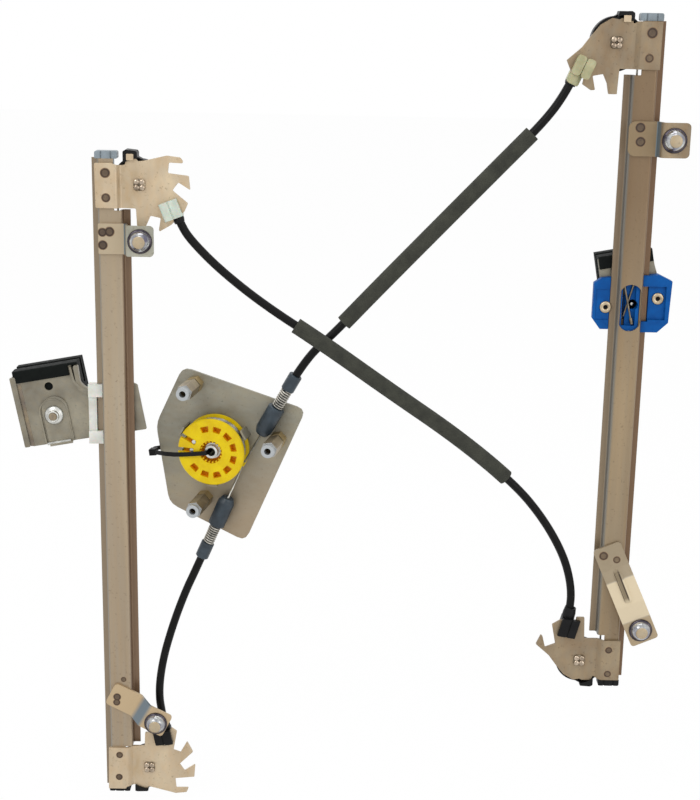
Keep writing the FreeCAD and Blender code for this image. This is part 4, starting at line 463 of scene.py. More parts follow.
def shading_tree():
    tree = bpy.data.node_groups.new("shade by angle", "GeometryNodeTree")
    tree.interface.new_socket("Geometry", in_out="INPUT", socket_type="NodeSocketGeometry")
    sharp = tree.interface.new_socket("Sharp angle", in_out="INPUT", socket_type="NodeSocketFloat")
    sharp.default_value = math.radians(28.0)
    tree.interface.new_socket("Geometry", in_out="OUTPUT", socket_type="NodeSocketGeometry")
    entry = tree.nodes.new("NodeGroupInput")
    leave = tree.nodes.new("NodeGroupOutput")
    join = tree.nodes.new("GeometryNodeMergeByDistance")
    join.inputs["Distance"].default_value = 0.000002
    faces = tree.nodes.new("GeometryNodeSetShadeSmooth")
    edges = tree.nodes.new("GeometryNodeSetShadeSmooth")
    edges.domain = "EDGE"
    edges.inputs["Shade Smooth"].default_value = False
    angle = tree.nodes.new("GeometryNodeInputMeshEdgeAngle")
    compare = tree.nodes.new("FunctionNodeCompare")
    compare.data_type = "FLOAT"
    compare.operation = "GREATER_THAN"
    link = tree.links.new
    link(entry.outputs["Geometry"], join.inputs["Geometry"])
    link(join.outputs["Geometry"], faces.inputs["Geometry"])
    link(faces.outputs["Geometry"], edges.inputs["Geometry"])
    link(angle.outputs["Unsigned Angle"], compare.inputs["A"])
    link(entry.outputs["Sharp angle"], compare.inputs["B"])
    link(compare.outputs["Result"], edges.inputs["Selection"])
    link(edges.outputs["Geometry"], leave.inputs["Geometry"])
    return tree


shade_by_angle = shading_tree()
for node_name, node_object in nodes_of_part.items():
    for material_slot in node_object.material_slots:
        material_slot.material = finish_for(node_name)
    shading = node_object.modifiers.new("shading", "NODES")
    shading.node_group = shade_by_angle


# Ways to make a piece: each piece is a plain mesh at the origin, in metres

def metres(points):
    return [Vector(point) * 0.001 for point in points]


def placed(place, x, y, z):
    """Point in metres from millimetres in a turned frame."""
    return (place @ Vector((x, y, z))) * 0.001


def add_piece(name, mesh, body, *stands_for):
    """Put a finished mesh in the scene, on its body, in place of the solids it stands for."""
    piece = bpy.data.objects.new(name, mesh)
    bpy.context.scene.collection.objects.link(piece)
    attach(piece, body)
    if stands_for:
        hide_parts(*stands_for)


def evaluated_mesh(maker):
    """Plain mesh of an object with its modifiers or curve settings applied; the maker object goes."""
    bpy.context.scene.collection.objects.link(maker)
    bpy.context.view_layer.update()
    graph = bpy.context.evaluated_depsgraph_get()
    mesh = bpy.data.meshes.new_from_object(
        maker.evaluated_get(graph), preserve_all_data_layers=True, depsgraph=graph)
    bpy.data.objects.remove(maker)
    return mesh


def shaded(mesh):
    """Mesh with joined triangles and sharp true edges."""
    maker = bpy.data.objects.new("shaded", mesh)
    maker.modifiers.new("shading", "NODES").node_group = shade_by_angle
    return evaluated_mesh(maker)


def finished(made, name, finishes):
    """Plain mesh from a bmesh, with its finishes."""
    mesh = bpy.data.meshes.new(name)
    made.to_mesh(mesh)
    made.free()
    for finish in finishes:
        mesh.materials.append(finish)
    return mesh


def joined(meshes, name):
    """One mesh from several of one finish."""
    whole = bmesh.new()
    for mesh in meshes:
        whole.from_mesh(mesh)
    return finished(whole, name, meshes[0].materials)


def grown_points(grown):
    return [item for item in grown["geom"] if isinstance(item, bmesh.types.BMVert)]


def rounded(corners, radius, steps=3):
    """Outline with each corner replaced by a short arc."""
    result = []
    for index, corner in enumerate(corners):
        here = Vector(corner)
        before = Vector(corners[index - 1]) - here
        after = Vector(corners[(index + 1) % len(corners)]) - here
        reach = min(radius, 0.4 * before.length, 0.4 * after.length)
        first = here + before.normalized() * reach
        last = here + after.normalized() * reach
        for step in range(steps + 1):
            share = step / steps
            result.append(first * (1 - share) ** 2 + here * 2 * share * (1 - share) + last * share ** 2)
    return result


def prism_mesh(outline, place, low, high, finish, radius=1.0):
    """Outline of (x, z) points in a turned frame, with rounded corners, grown from one depth to another."""
    made = bmesh.new()
    corners = rounded(outline, radius) if radius > 0.0 else outline
    made.faces.new([made.verts.new(placed(place, x, low, z)) for x, z in corners])
    step = placed(place, 0.0, high, 0.0) - placed(place, 0.0, low, 0.0)
    grown = bmesh.ops.extrude_face_region(made, geom=made.faces[:])
    bmesh.ops.translate(made, verts=grown_points(grown), vec=step)
    bmesh.ops.triangulate(made, faces=made.faces[:])
    bmesh.ops.recalc_face_normals(made, faces=made.faces[:])
    return shaded(finished(made, "prism", [finish]))


def box_outline(left, low, right, high):
    return [(left, low), (right, low), (right, high), (left, high)]


def turned(profile, finishes, segments=40):
    """Mesh turned about Z from points (radius, height, number of the finish), in millimetres."""
    made = bmesh.new()
    rings = []
    for radius, height, finish in profile:
        ring = []
        for index in range(segments if radius > 0.0 else 1):
            angle = math.tau * index / segments
            place = Vector((radius * math.cos(angle), radius * math.sin(angle), height)) * 0.001
            ring.append(made.verts.new(place))
        rings.append((ring, finish))
    for (low, finish), (high, unused) in zip(rings, rings[1:]):
        for index in range(segments):
            after = (index + 1) % segments
            upper = [high[after], high[index]] if len(high) > 1 else [high[0]]
            face = made.faces.new([low[index], low[after]] + upper)
            face.material_index = finish
            face.smooth = True
    return finished(made, "turned", finishes)


def recast(node, change):
    """Copy of a node's mesh with every place changed, in millimetres."""
    mesh = nodes_of_part[node].data.copy()
    mesh.transform(nodes_of_part[node].matrix_world)
    for vertex in mesh.vertices:
        vertex.co = change(vertex.co * 1000.0) * 0.001
    mesh.materials.clear()
    mesh.materials.append(finish_for(node))
    return shaded(mesh)


def stand_on(start, finish):
    """Placement that carries the Z axis onto the line from start to finish."""
    direction = (finish - start).normalized()
    return Matrix.Translation(start) @ direction.to_track_quat("Z", "Y").to_matrix().to_4x4()


def route_tube(name, points, radius, finish, start=0.0, end=1.0):
    """Round tube along a smooth line through a route's points, or along part of it."""
    data = bpy.data.curves.new(name, "CURVE")
    data.dimensions = "3D"
    spline = data.splines.new("NURBS")
    spline.points.add(len(points) - 1)
    for control, point in zip(spline.points, metres(points)):
        control.co = (*point, 1.0)
    spline.order_u = 3
    spline.use_endpoint_u = True
    spline.resolution_u = 16
    data.bevel_depth = radius * 0.001
    data.bevel_resolution = 6
    data.use_fill_caps = True
    data.bevel_factor_mapping_start = "SPLINE"
    data.bevel_factor_mapping_end = "SPLINE"
    data.bevel_factor_start = start
    data.bevel_factor_end = end
    mesh = evaluated_mesh(bpy.data.objects.new(name, data))
    mesh.materials.append(finish)
    return mesh


class Tree(Nodes):
    """A geometry tree with named inputs, ending in Realize Instances and Set Material."""

    def __init__(self, name, inputs):
        super().__init__(bpy.data.node_groups.new(name, "GeometryNodeTree"))
        self.identifiers = {}
        for label, kind in inputs.items():
            socket = self.tree.interface.new_socket(label, in_out="INPUT", socket_type=kind)
            self.identifiers[label] = socket.identifier
        self.tree.interface.new_socket("Geometry", in_out="OUTPUT", socket_type="NodeSocketGeometry")
        self.entry = self.node("NodeGroupInput").outputs

    def close(self, geometry, *finishes):
        """Realize Instances and Set Material; several finishes go by the faces' own numbers."""
        geometry = self.node("GeometryNodeRealizeInstances", Geometry=geometry).outputs[0]
        number = self.node("GeometryNodeInputMaterialIndex").outputs[0]
        for index, finish in enumerate(finishes):
            chosen = self.maths("COMPARE", number, float(index)) if len(finishes) > 1 else True
            geometry = self.node(
                "GeometryNodeSetMaterial", Geometry=geometry, Selection=chosen, Material=finish).outputs[0]
        self.feed(self.node("NodeGroupOutput").inputs[0], geometry)
        return self

    def grow(self, name, values, points=()):
        """Plain mesh that the tree makes from named values, or on a mesh of points."""
        base = bpy.data.meshes.new(name)
        base.from_pydata([point for point, size in points], [], [])
        sizes = base.attributes.new("size", "FLOAT", "POINT")
        for entry, (point, size) in zip(sizes.data, points):
            entry.value = size
        maker = bpy.data.objects.new(name, base)
        grower = maker.modifiers.new("grow", "NODES")
        grower.node_group = self.tree
        for label, value in values.items():
            grower[self.identifiers[label]] = value
        return evaluated_mesh(maker)


def coil_tree(name, finish, strands=0):
    """Wire wound in a helix along its own Z; strands give the wire a laid cable's ridges."""
    inputs = {
        "Turns": "NodeSocketFloat", "Radius": "NodeSocketFloat", "Length": "NodeSocketFloat",
        "Wire radius": "NodeSocketFloat", "Lay": "NodeSocketFloat",
    }
    made = Tree(name, inputs)
    entry = made.entry
    helix = made.node(
        "GeometryNodeCurveSpiral", Resolution=48 if strands else 28, Rotations=entry["Turns"],
        Start_Radius=entry["Radius"], End_Radius=entry["Radius"], Height=entry["Length"],
    ).outputs[0]
    sides = 18 if strands else 12
    section = made.node(
        "GeometryNodeCurvePrimitiveCircle", Resolution=sides, Radius=entry["Wire radius"]).outputs[0]
    if strands:
        index = made.node("GeometryNodeInputIndex").outputs[0]
        wave = made.maths("COSINE", made.maths("MULTIPLY", index, strands * math.tau / sides))
        swell = made.maths("ADD", made.maths("MULTIPLY", wave, 0.12), 0.94)
        position = made.node("GeometryNodeInputPosition").outputs[0]
        scaled = made.node("ShaderNodeVectorMath", {"operation": "SCALE"}, Vector=position, Scale=swell)
        ridged = made.node("GeometryNodeSetPosition", Geometry=section, Position=scaled.outputs[0])
        section = ridged.outputs[0]
        along = made.node("GeometryNodeSplineParameter").outputs["Length"]
        turn = made.maths("MULTIPLY", along, entry["Lay"])
        helix = made.node("GeometryNodeSetCurveTilt", Curve=helix, Tilt=turn).outputs[0]
    wire = made.node("GeometryNodeCurveToMesh", Curve=helix, Profile_Curve=section, Fill_Caps=True).outputs[0]
    smooth = made.node("GeometryNodeSetShadeSmooth", Geometry=wire).outputs[0]
    return made.close(smooth, finish)


def row_tree(name, finishes):
    """Copies of a turned shape on points, facing the viewer, each widened by its point's size."""
    made = Tree(
        name, {"Points": "NodeSocketGeometry", "Shape": "NodeSocketObject", "Tilt": "NodeSocketFloat"})
    shape = made.node("GeometryNodeObjectInfo", Object=made.entry["Shape"]).outputs["Geometry"]
    size = made.node("GeometryNodeInputNamedAttribute", {"data_type": "FLOAT"}, Name="size").outputs[0]
    scale = made.node("ShaderNodeCombineXYZ", X=size, Y=size, Z=1.0).outputs[0]
    tilt = made.node("ShaderNodeCombineXYZ", X=made.entry["Tilt"]).outputs[0]
    copies = made.node(
        "GeometryNodeInstanceOnPoints", Points=made.entry["Points"], Instance=shape, Rotation=tilt,
        Scale=scale).outputs[0]
    return made.close(copies, *finishes)


def row_of(name, shape, points):
    """One mesh with a copy of a turned shape at each (place, size), places in millimetres."""
    pattern = bpy.data.objects.new(name + " shape", shape)
    tree = row_tree(name, list(shape.materials))
    values = {"Shape": pattern, "Tilt": math.radians(90.0)}
    mesh = tree.grow(name, values, [(Vector(place) * 0.001, size) for place, size in points])
    bpy.data.objects.remove(pattern)
    return mesh


# Tensioner springs and the turns on the drum

tensioner_lines = [
    metres([(46.7, -15.7, 35.8), (54.3, -17.1, 49.7)]),
    metres([(-0.6, -6.9, -61.8), (-6.8, -5.8, -76.5)]),
]
spring_coil = coil_tree("spring coil", spring_steel)
springs = []
for spring_start, spring_end in tensioner_lines:
    spring_mesh = spring_coil.grow("spring", {
        "Turns": 8.5, "Radius": 0.0038, "Length": (spring_end - spring_start).length, "Wire radius": 0.0007,
        "Lay": 0.0,
    })
    spring_mesh.transform(stand_on(spring_start, spring_end))
    springs.append(spring_mesh)
add_piece("spring_coils", joined(springs, "spring coils"), FIXED, "tensioner_springs")

windings = coil_tree("drum coil", cable_steel, 6).grow("drum turns", {
    "Turns": 6.0, "Radius": 0.0233, "Length": 0.0098, "Wire radius": 0.00078, "Lay": 1500.0,
})
windings.transform(stand_on(placed(plate_frame, 0, -14.4, 0), placed(plate_frame, 0, -4.6, 0)))
add_piece("wound_cable", windings, "drum", "drum_windings")


# Sheaths: smooth lines through the solids' route points, the crossover's first half after the photograph

crossover_points = [
    (-29.9, -13.2, 185.4), (-24.5, -13.2, 171.4), (-16.3, -15.0, 160.0), (4.7, -19.0, 140.0),
    (37.0, -25.0, 116.0), (80.7, -30.0, 89.2), (130.2, -29.4, 54.4), (184.0, -26.0, 17.2),
    (228.0, -21.0, -20.0),
    (250.7, -17.2, -47.2), (268.0, -14.4, -76.4), (275.9, -13.4, -100.4), (277.5, -13.2, -121.3),
    (274.0, -13.2, -137.9),
]
upper_points = [
    (258.8, -13.2, 287.6), (252.5, -13.2, 272.9), (238.8, -13.3, 252.7), (212.6, -13.8, 225.3),
    (166.1, -15.2, 176.4), (118.8, -18.0, 126.7), (87.8, -20.2, 93.4), (68.3, -19.7, 75.0),
    (55.4, -17.3, 51.6),
]
lower_points = [
    (-7.6, -5.6, -78.4), (-17.1, -3.8, -100.9), (-25.0, -5.6, -118.1), (-34.6, -7.8, -144.5),
    (-43.1, -10.5, -174.5), (-46.5, -12.6, -202.5), (-43.3, -13.2, -222.4), (-40.8, -13.2, -239.7),
]
for name, points in (("crossover", crossover_points), ("upper", upper_points), ("lower", lower_points)):
    sheath = route_tube(name + " sheath", points, SHEATH_RADIUS, sheath_plastic)
    add_piece(name + "_cable_sheath", sheath, FIXED, name + "_sheath")


def trimmed_copy(node, inside):
    """Copy of a wire's mesh without the stretch that its sheath hides."""
    made = bmesh.new()
    made.from_mesh(nodes_of_part[node].data)
    made.transform(nodes_of_part[node].matrix_world)
    bmesh.ops.remove_doubles(made, verts=made.verts[:], dist=0.000002)
    hidden = [face for face in made.faces if inside(face.calc_center_median() * 1000.0)]
    bmesh.ops.delete(made, geom=hidden, context="FACES")
    bmesh.ops.holes_fill(made, edges=[edge for edge in made.edges if edge.is_boundary])
    mesh = finished(made, node, [cable_steel])
    for face in mesh.polygons:
        face.use_smooth = len(face.vertices) < 5
        face.material_index = 0
    return mesh


hidden_stretch = {
    "crossover": lambda at: -36.0 < at.x < 290.0 and at.z > -130.0,
    "upper": lambda at: 58.0 < at.x < 256.0 and at.z > 53.0,
    "lower": lambda at: at.x > -60.0 and -236.0 < at.z < -84.0,
}
for name, inside in hidden_stretch.items():
    add_piece(name + "_cable", trimmed_copy(name + "_wire", inside), FIXED, name + "_wire")

foam_pieces = [
    route_tube("crossover foam", crossover_points, FOAM_RADIUS, foam, 0.272, 0.697),
    route_tube("upper foam", upper_points, FOAM_RADIUS, foam, 0.172, 0.791),
]
add_piece("foam_covers", joined(foam_pieces, "foam covers"), FIXED, "foam_sleeves")


# Turned faces: studs, staked pins, weld marks, the domed nut, the rivets and the bolt's end in a well of
# painted shade

stud_places = [(-52.4, 162.1), (328.3, 241.1), (-46.5, -219.0), (329.0, -132.6)]
stud_shape = turned([
    (9.0, 0.0, 0), (9.0, 0.8, 0), (8.5, 1.5, 0), (7.9, 1.7, 0), (7.5, 1.8, 1), (7.4, 2.4, 1), (7.0, 3.4, 1),
    (6.3, 4.5, 1), (5.5, 5.4, 1), (4.7, 6.0, 1), (4.5, 6.4, 2), (4.3, 6.9, 2), (4.0, 7.0, 2), (0.0, 7.0, 2),
], [stud_shadow_ring, stud_dome, stud_face])
stud_heads = row_of("stud heads", stud_shape, [((x, STUD_FACE_Y, z), 1.0) for x, z in stud_places])
add_piece("stud_heads", stud_heads, FIXED, "mount_studs")

pin_places = {
    "left_upper": (-53.9, 201.4), "right_upper": (285.4, 307.8), "left_lower": (-53.9, -264.4),
    "right_lower": (285.4, -164.8),
}
lobe_profile = [(2.25, 0.0, 0), (2.2, 0.5, 0), (1.8, 1.0, 0), (1.0, 1.3, 0), (0.0, 1.4, 0)]
LOBE_REACH = 2.9
lobe_points = []
for x, z in pin_places.values():
    for angle in (45.0, 135.0, 225.0, 315.0):
        across = x + LOBE_REACH * math.cos(math.radians(angle))
        height = z + LOBE_REACH * math.sin(math.radians(angle))
        lobe_points.append(((across, STAKED_FACE_Y, height), 1.0))
lobes = row_of("staked lobes", turned(lobe_profile, [staked_steel], 24), lobe_points)
add_piece("staked_lobes", lobes, FIXED)

weld_shape = turned([
    (1.14, 0.0, 1), (1.1, 0.02, 1), (1.0, 0.03, 0), (0.95, 0.2, 0), (0.8, 0.26, 0), (0.66, 0.1, 2),
    (0.4, 0.06, 2), (0.2, 0.12, 2), (0.0, 0.14, 2),
], [weld_brown, weld_halo, weld_core], 28)
weld_marks = [
    (309.5, 314.8, 3.6), (308.5, 297.4, 2.9), (305.4, 249.1, 3.4), (306.1, 239.1, 3.4), (-78.0, 209.9, 3.3),
    (-77.8, 192.0, 3.0), (-80.9, 166.9, 3.0), (-75.7, 167.4, 3.3), (-80.8, 157.5, 3.2), (-77.1, -252.3, 2.5),
    (-77.8, -271.7, 2.5), (-78.0, -201.8, 2.8), (-78.4, -206.4, 2.6), (307.5, -154.3, 2.6),
    (307.7, -174.4, 2.6), (298.8, -76.1, 3.2), (309.1, -79.0, 2.6),
]
weld_points = [((x, STRIP_FACE_Y, z), radius) for x, z, radius in weld_marks]
weld_points.append(((-72.9, STRIP_FACE_Y + SHEET, -187.6), 2.0))
add_piece("weld_marks", row_of("weld marks", weld_shape, weld_points), FIXED)

nut_shape = turned([
    (7.4, 0.0, 0), (7.4, 0.4, 0), (7.1, 1.0, 0), (6.6, 1.5, 0), (5.9, 2.0, 0), (5.2, 2.3, 0), (4.5, 2.5, 0),
    (4.4, 2.6, 0), (4.4, 4.9, 0), (4.2, 5.2, 0), (3.9, 5.3, 0), (3.1, 5.3, 0), (3.05, 4.6, 0),
], [bright_steel], 48)
domed_nut = row_of("domed nut", nut_shape, [((LEFT_CLAMP.x, -9.1, LEFT_CLAMP.z), 1.0)])
add_piece("domed_nut", domed_nut, "left_carrier", "left_clamp_nut")

# The rivet's hollow centre is a flat disc of painted shade
rivet_shape = turned([
    (4.5, 0.0, 0), (4.4, 0.5, 0), (3.9, 0.9, 0), (3.0, 1.1, 0), (2.1, 1.0, 0), (1.7, 0.7, 0), (1.6, 0.3, 1),
    (0.0, 0.2, 1),
], [rivet_steel, painted_hole_shadow])
rivet_places = [(290.1, -12.4, 116.5), (328.2, -13.3, 123.7)]
rivet_faces = row_of("rivet faces", rivet_shape, [(place, 1.0) for place in rivet_places])
add_piece("rivet_faces", rivet_faces, "right_carrier", "right_slider_rivets")

# The well round the bolt's end is a flat ring of painted shade
well_shape = turned([
    (3.6, 0.0, 0), (3.5, 0.3, 0), (1.4, 0.3, 0), (1.3, 0.7, 1), (1.0, 0.9, 1), (0.0, 0.9, 1),
], [painted_hole_shadow, bright_steel])
bolt_in_well = row_of("bolt in well", well_shape, [((RIGHT_CLAMP.x, -11.9, RIGHT_CLAMP.z), 1.0)])
add_piece("bolt_in_well", bolt_in_well, "right_carrier")


# The left rail's upper bracket, across and down from the rail's top: strip, joggle and slotted fan

fan_outline = [
    (-10.4, 3.1), (2.0, 2.9), (5.3, 4.5), (9.7, 4.8), (11.6, 4.0), (11.6, -1.6), (18.8, -1.6), (20.8, 1.9),
    (25.2, 1.3), (41.5, -2.6), (51.5, -1.4), (53.3, 1.3), (52.9, 2.7), (43.1, 2.3), (42.3, 10.0),
    (57.4, 11.7),
    (58.4, 21.9), (49.9, 16.5), (45.4, 22.4), (56.7, 31.6), (53.8, 38.1), (50.9, 39.4), (47.4, 30.3),
    (41.4, 32.6), (46.4, 45.5), (44.0, 47.7), (35.8, 52.4), (35.3, 51.0), (36.8, 42.6), (29.3, 41.0),
    (25.5, 49.5), (19.4, 49.3), (18.8, 35.9), (-10.0, 35.5),
]
JOGGLE_START = 4.7
JOGGLE_WIDTH = 3.8
JOGGLE_DEPTH = 4.0


def joggled_fan():
    """Flat fan cut along its joggle, grown to the sheet's thickness, with the strip brought forward."""
    made = bmesh.new()
    corners = []
    for across, down in rounded(fan_outline, 1.1):
        corner = placed(plain_frame, LEFT_RAIL_X + across, FAN_FACE_Y, LEFT_RAIL_TOP - down)
        corners.append(made.verts.new(corner))
    made.faces.new(corners)
    for across in (4.7, 5.6, 6.6, 7.6, 8.5):
        everything = made.verts[:] + made.edges[:] + made.faces[:]
        cut = placed(plain_frame, LEFT_RAIL_X + across, 0.0, 0.0)
        bmesh.ops.bisect_plane(made, geom=everything, plane_co=cut, plane_no=(1.0, 0.0, 0.0))
    grown = bmesh.ops.extrude_face_region(made, geom=made.faces[:])
    for vertex in grown_points(grown):
        vertex.co.y += SHEET * 0.001
    for vertex in made.verts:
        share = (vertex.co.x * 1000.0 - LEFT_RAIL_X - JOGGLE_START) / JOGGLE_WIDTH
        share = min(1.0, max(0.0, share))
        vertex.co.y -= JOGGLE_DEPTH * 0.001 * (1.0 - share * share * (3.0 - 2.0 * share))
    bmesh.ops.triangulate(made, faces=made.faces[:])
    bmesh.ops.recalc_face_normals(made, faces=made.faces[:])
    return shaded(finished(made, "fan", [light_bracket_steel]))


add_piece("left_upper_fan", joggled_fan(), FIXED, "left_upper_end_bracket")


# Motor plate with closed tab roots, and its three tabs

plate_outline = [(-48.9, 14.1), (-27.0, 60.8), (69.2, 33.2), (22.2, -76.0), (-38.9, -49.5)]
plate_pieces = [prism_mesh(plate_outline, plate_frame, 0.0, SHEET, plate_steel, 7.0)]
for angle in (30.0, 150.0, 270.0):
    tab_frame = plate_frame @ Matrix.Rotation(-math.radians(angle), 4, "Y")
    tab_outline = box_outline(27.1, -4.0, 28.6, 4.0)
    plate_pieces.append(prism_mesh(tab_outline, tab_frame, 0.5, -14.6, plate_steel, 0.3))
add_piece("dressed_plate", joined(plate_pieces, "dressed plate"), FIXED, "motor_plate")


# Left carrier: folded edge, hook band, arch rim, a thin dark sheet of painted shade beside the fold, and
# bright lip

CARRIER_FACE_Y = -7.6
ARCH_FACE_Y = -8.6
ARCH_X = -0.3
ARCH_Z = 2.6
ARCH_FOOT_Z = -21.4
hook_outline = [
    (22.4, 35.6), (26.2, 35.6), (25.4, 22.4), (28.6, 17.6), (32.6, 16.2), (32.6, 12.6), (27.0, 13.0),
    (22.2, 17.6),
]
arch_outline = []
for reach in (10.6, 9.6):
    side_line = [(ARCH_X - reach, ARCH_FOOT_Z)]
    for step in range(9):
        angle = math.radians(180.0 - 22.5 * step)
        side_line.append((ARCH_X + reach * math.cos(angle), ARCH_Z + reach * math.sin(angle)))
    side_line.append((ARCH_X + reach, ARCH_FOOT_Z))
    arch_outline += side_line if not arch_outline else side_line[::-1]
fold_outline = box_outline(-27.4, -21.6, -23.2, 33.6)
carrier_folds = joined([
    prism_mesh(fold_outline, left_clamp_frame, CARRIER_FACE_Y, -9.4, carrier_steel, 0.8),
    prism_mesh(hook_outline, left_clamp_frame, CARRIER_FACE_Y, -11.4, carrier_steel, 1.6),
    prism_mesh(arch_outline, left_clamp_frame, ARCH_FACE_Y, -9.5, carrier_steel, 0.0),
], "carrier folds")
add_piece("carrier_folds", carrier_folds, "left_carrier")
# Painted shade: a thin dark sheet on the plate's face beside the fold
fold_shade_outline = box_outline(-23.0, -21.6, -20.2, 27.6)
fold_shade_sheet = prism_mesh(fold_shade_outline, left_clamp_frame, CARRIER_FACE_Y, -7.85, stud_steel, 0.4)
add_piece("carrier_groove", fold_shade_sheet, "left_carrier")
lip_outline = box_outline(-9.4, -22.2, 8.8, -20.2)
lip = prism_mesh(lip_outline, left_clamp_frame, ARCH_FACE_Y, -11.2, bright_steel, 0.5)
add_piece("carrier_lip", lip, "left_carrier")


# Right carrier: narrower rubber and jaw, and a shorter plate

def in_right_clamp(change):
    """Change of places that is written across and up the right clamp's turned frame."""
    way_back = right_clamp_frame.inverted()

    def changed(point):
        own = way_back @ point
        across, height = change(own.x, own.z)
        return right_clamp_frame @ Vector((across, own.y, height))

    return changed


NARROWED_ABOUT = 0.5
narrowed = in_right_clamp(lambda across, height: (NARROWED_ABOUT + (across - NARROWED_ABOUT) * 0.8, height))
shortened = in_right_clamp(lambda across, height: (max(across, -20.0), max(height, -15.0)))
for name, node, change in (
    ("right_rubber", "right_glass_grip", narrowed), ("right_jaw", "right_clamp_jaw", narrowed),
    ("right_short_plate", "right_carrier_plate", shortened),
):
    add_piece(name, recast(node, change), "right_carrier", node)


# Upper cable fitting of the right rail: two round lobes in front, a neck round the sheath, and the body

def front_lobe(left, right):
    return prism_mesh(
        box_outline(left, -30.6, right, -16.0), fitting_frame, FAN_FACE_Y - 0.1, -21.9, green_plastic, 2.6)


neck_profile = [(3.2, 0.0, 0), (4.9, 0.0, 0), (5.0, 0.6, 0), (4.9, 8.6, 0), (4.5, 9.2, 0), (3.2, 9.2, 0)]
neck = turned(neck_profile, [green_plastic], 36)
neck_top = placed(fitting_frame, 0.0, ROUTE_END_Y, -28.2)
neck.transform(stand_on(neck_top, placed(fitting_frame, 0.0, ROUTE_END_Y, -38.0)))
back_body = prism_mesh(
    box_outline(-4.7, -36.5, 4.7, -17.5), fitting_frame, FAN_FACE_Y + SHEET + 0.1, -9.4, green_plastic, 0.8)
fitting_mesh = joined([front_lobe(-5.0, 1.8), front_lobe(2.2, 9.0), neck, back_body], "right upper fitting")
add_piece("right_upper_lobes", fitting_mesh, FIXED, "right_upper_cable_fitting")


# Covers and pulleys a little smaller than their solids, and shorter fittings and feet at the lower brackets

def pulled_in(centre, near, start, share, away=0.0):
    """Radii past a start are drawn in; away keeps the clip's side of a cover as it is."""
    def change(point):
        flat = Vector((point.x - centre[0], 0.0, point.z - centre[1]))
        if flat.length <= near:
            return point
        wanted = start + (flat.length - near) * share
        amount = 1.0 if away == 0.0 else min(1.0, max(0.0, (3.0 - away * flat.x) / 5.0))
        radius = flat.length + (wanted - flat.length) * amount
        moved = flat * (radius / flat.length)
        return Vector((centre[0] + moved.x, point.y, centre[1] + moved.z))

    return change


FOOT_TOP_Z = -283.0


def foot_raised(point):
    """The feet under the left rail end higher than their solids."""
    if point.x > 0.0 or point.z > FOOT_TOP_Z:
        return point
    return Vector((point.x, point.y, FOOT_TOP_Z + (point.z - FOOT_TOP_Z) * 0.4))


for corner, centre in pin_places.items():
    clip_side = -1.0 if centre[0] < 0.0 else 1.0
    wheel = recast(corner + "_pulley", pulled_in(centre, near=PITCH_RADIUS, start=PITCH_RADIUS, share=0.35))
    add_piece(corner + "_small_pulley", wheel, corner + "_pulley_wheel", corner + "_pulley")
    drawn_in = pulled_in(centre, near=18.9, start=17.5, share=0.45, away=clip_side)
    cover = recast(corner + "_pulley_cover", lambda point: foot_raised(drawn_in(point)))
    add_piece(corner + "_small_cover", cover, FIXED, corner + "_pulley_cover")
for corner, top, share in (("left_lower", -231.1, 0.7), ("right_lower", -129.1, 0.79)):
    node = corner + "_cable_fitting"
    short = recast(node, lambda point: Vector((point.x, point.y, top + (point.z - top) * share)))
    add_piece(corner + "_short_fitting", short, FIXED, node)
add_piece("lower_stops", recast("lower_end_stops", foot_raised), FIXED, "lower_end_stops")


# Clip of the right upper cover, and the small light tabs of both upper brackets inside the clips

CLIP_INSET = 15.2
TAB_HALF_WIDTH = 2.6
clip_outline = [
    (285.0, 325.0), (286.2, 329.4), (291.5, 329.4), (297.2, 327.0), (296.6, 322.8), (294.8, 322.8),
    (294.9, 325.4), (287.6, 326.8),
]
clip = prism_mesh(clip_outline, plain_frame, -19.6, -9.0, black_plastic, 0.4)
add_piece("right_upper_clip", clip, FIXED)
tabs = []
for x, z in ((LEFT_RAIL_X + CLIP_INSET, LEFT_RAIL_TOP), (RIGHT_RAIL_X - CLIP_INSET, RIGHT_RAIL_TOP)):
    outline = box_outline(x - TAB_HALF_WIDTH, z - 1.0, x + TAB_HALF_WIDTH, z + 3.6)
    tabs.append(prism_mesh(outline, plain_frame, -19.7, -20.15, light_bracket_steel, 0.6))
add_piece("clip_tabs", joined(tabs, "clip tabs"), FIXED)


# Cable tie: from its head beside the plate over the drum and down the left wall of the hollow axle

TIE_HALF_WIDTH = 1.6
TIE_HALF_THICKNESS = 0.55
tie_line = [
    (-51.0, -6.2), (-44.0, -10.8), (-36.0, -15.6), (-29.0, -18.6), (-20.0, -20.1), (-8.0, -20.2),
    (-3.4, -19.6), (-2.5, -17.0), (-2.5, 4.4), (-4.0, 5.0), (-48.0, 5.0), (-51.6, 3.0), (-52.2, -3.0),
]


def tie_mesh():
    """Flat strap along its line of (across, depth) points in the tie's own turned frame."""
    made = bmesh.new()
    rings = []
    for index, point in enumerate(tie_line):
        here = Vector(point)
        before = Vector(tie_line[max(index - 1, 0)])
        after = Vector(tie_line[min(index + 1, len(tie_line) - 1)])
        along = (after - before).normalized()
        aside = Vector((-along.y, along.x)) * TIE_HALF_THICKNESS
        ring = []
        for side, edge in ((1.0, -1.0), (1.0, 1.0), (-1.0, 1.0), (-1.0, -1.0)):
            flat = here + aside * side
            ring.append(made.verts.new(placed(tie_frame, flat.x, flat.y, edge * TIE_HALF_WIDTH)))
        rings.append(ring)
    for first, second in zip(rings, rings[1:]):
        for index in range(4):
            after = (index + 1) % 4
            made.faces.new([first[index], first[after], second[after], second[index]])
    made.faces.new(rings[0])
    made.faces.new(rings[-1][::-1])
    bmesh.ops.recalc_face_normals(made, faces=made.faces[:])
    return shaded(finished(made, "tie", [black_plastic]))


tie_head = prism_mesh(box_outline(-52.6, -2.5, -46.8, 2.5), tie_frame, -3.0, -8.8, black_plastic, 0.6)
add_piece("tie_strap", joined([tie_mesh(), tie_head], "tie strap"), FIXED, "hub_tie")


# The left upper fitting and its ring sit further out and lean more than their solids

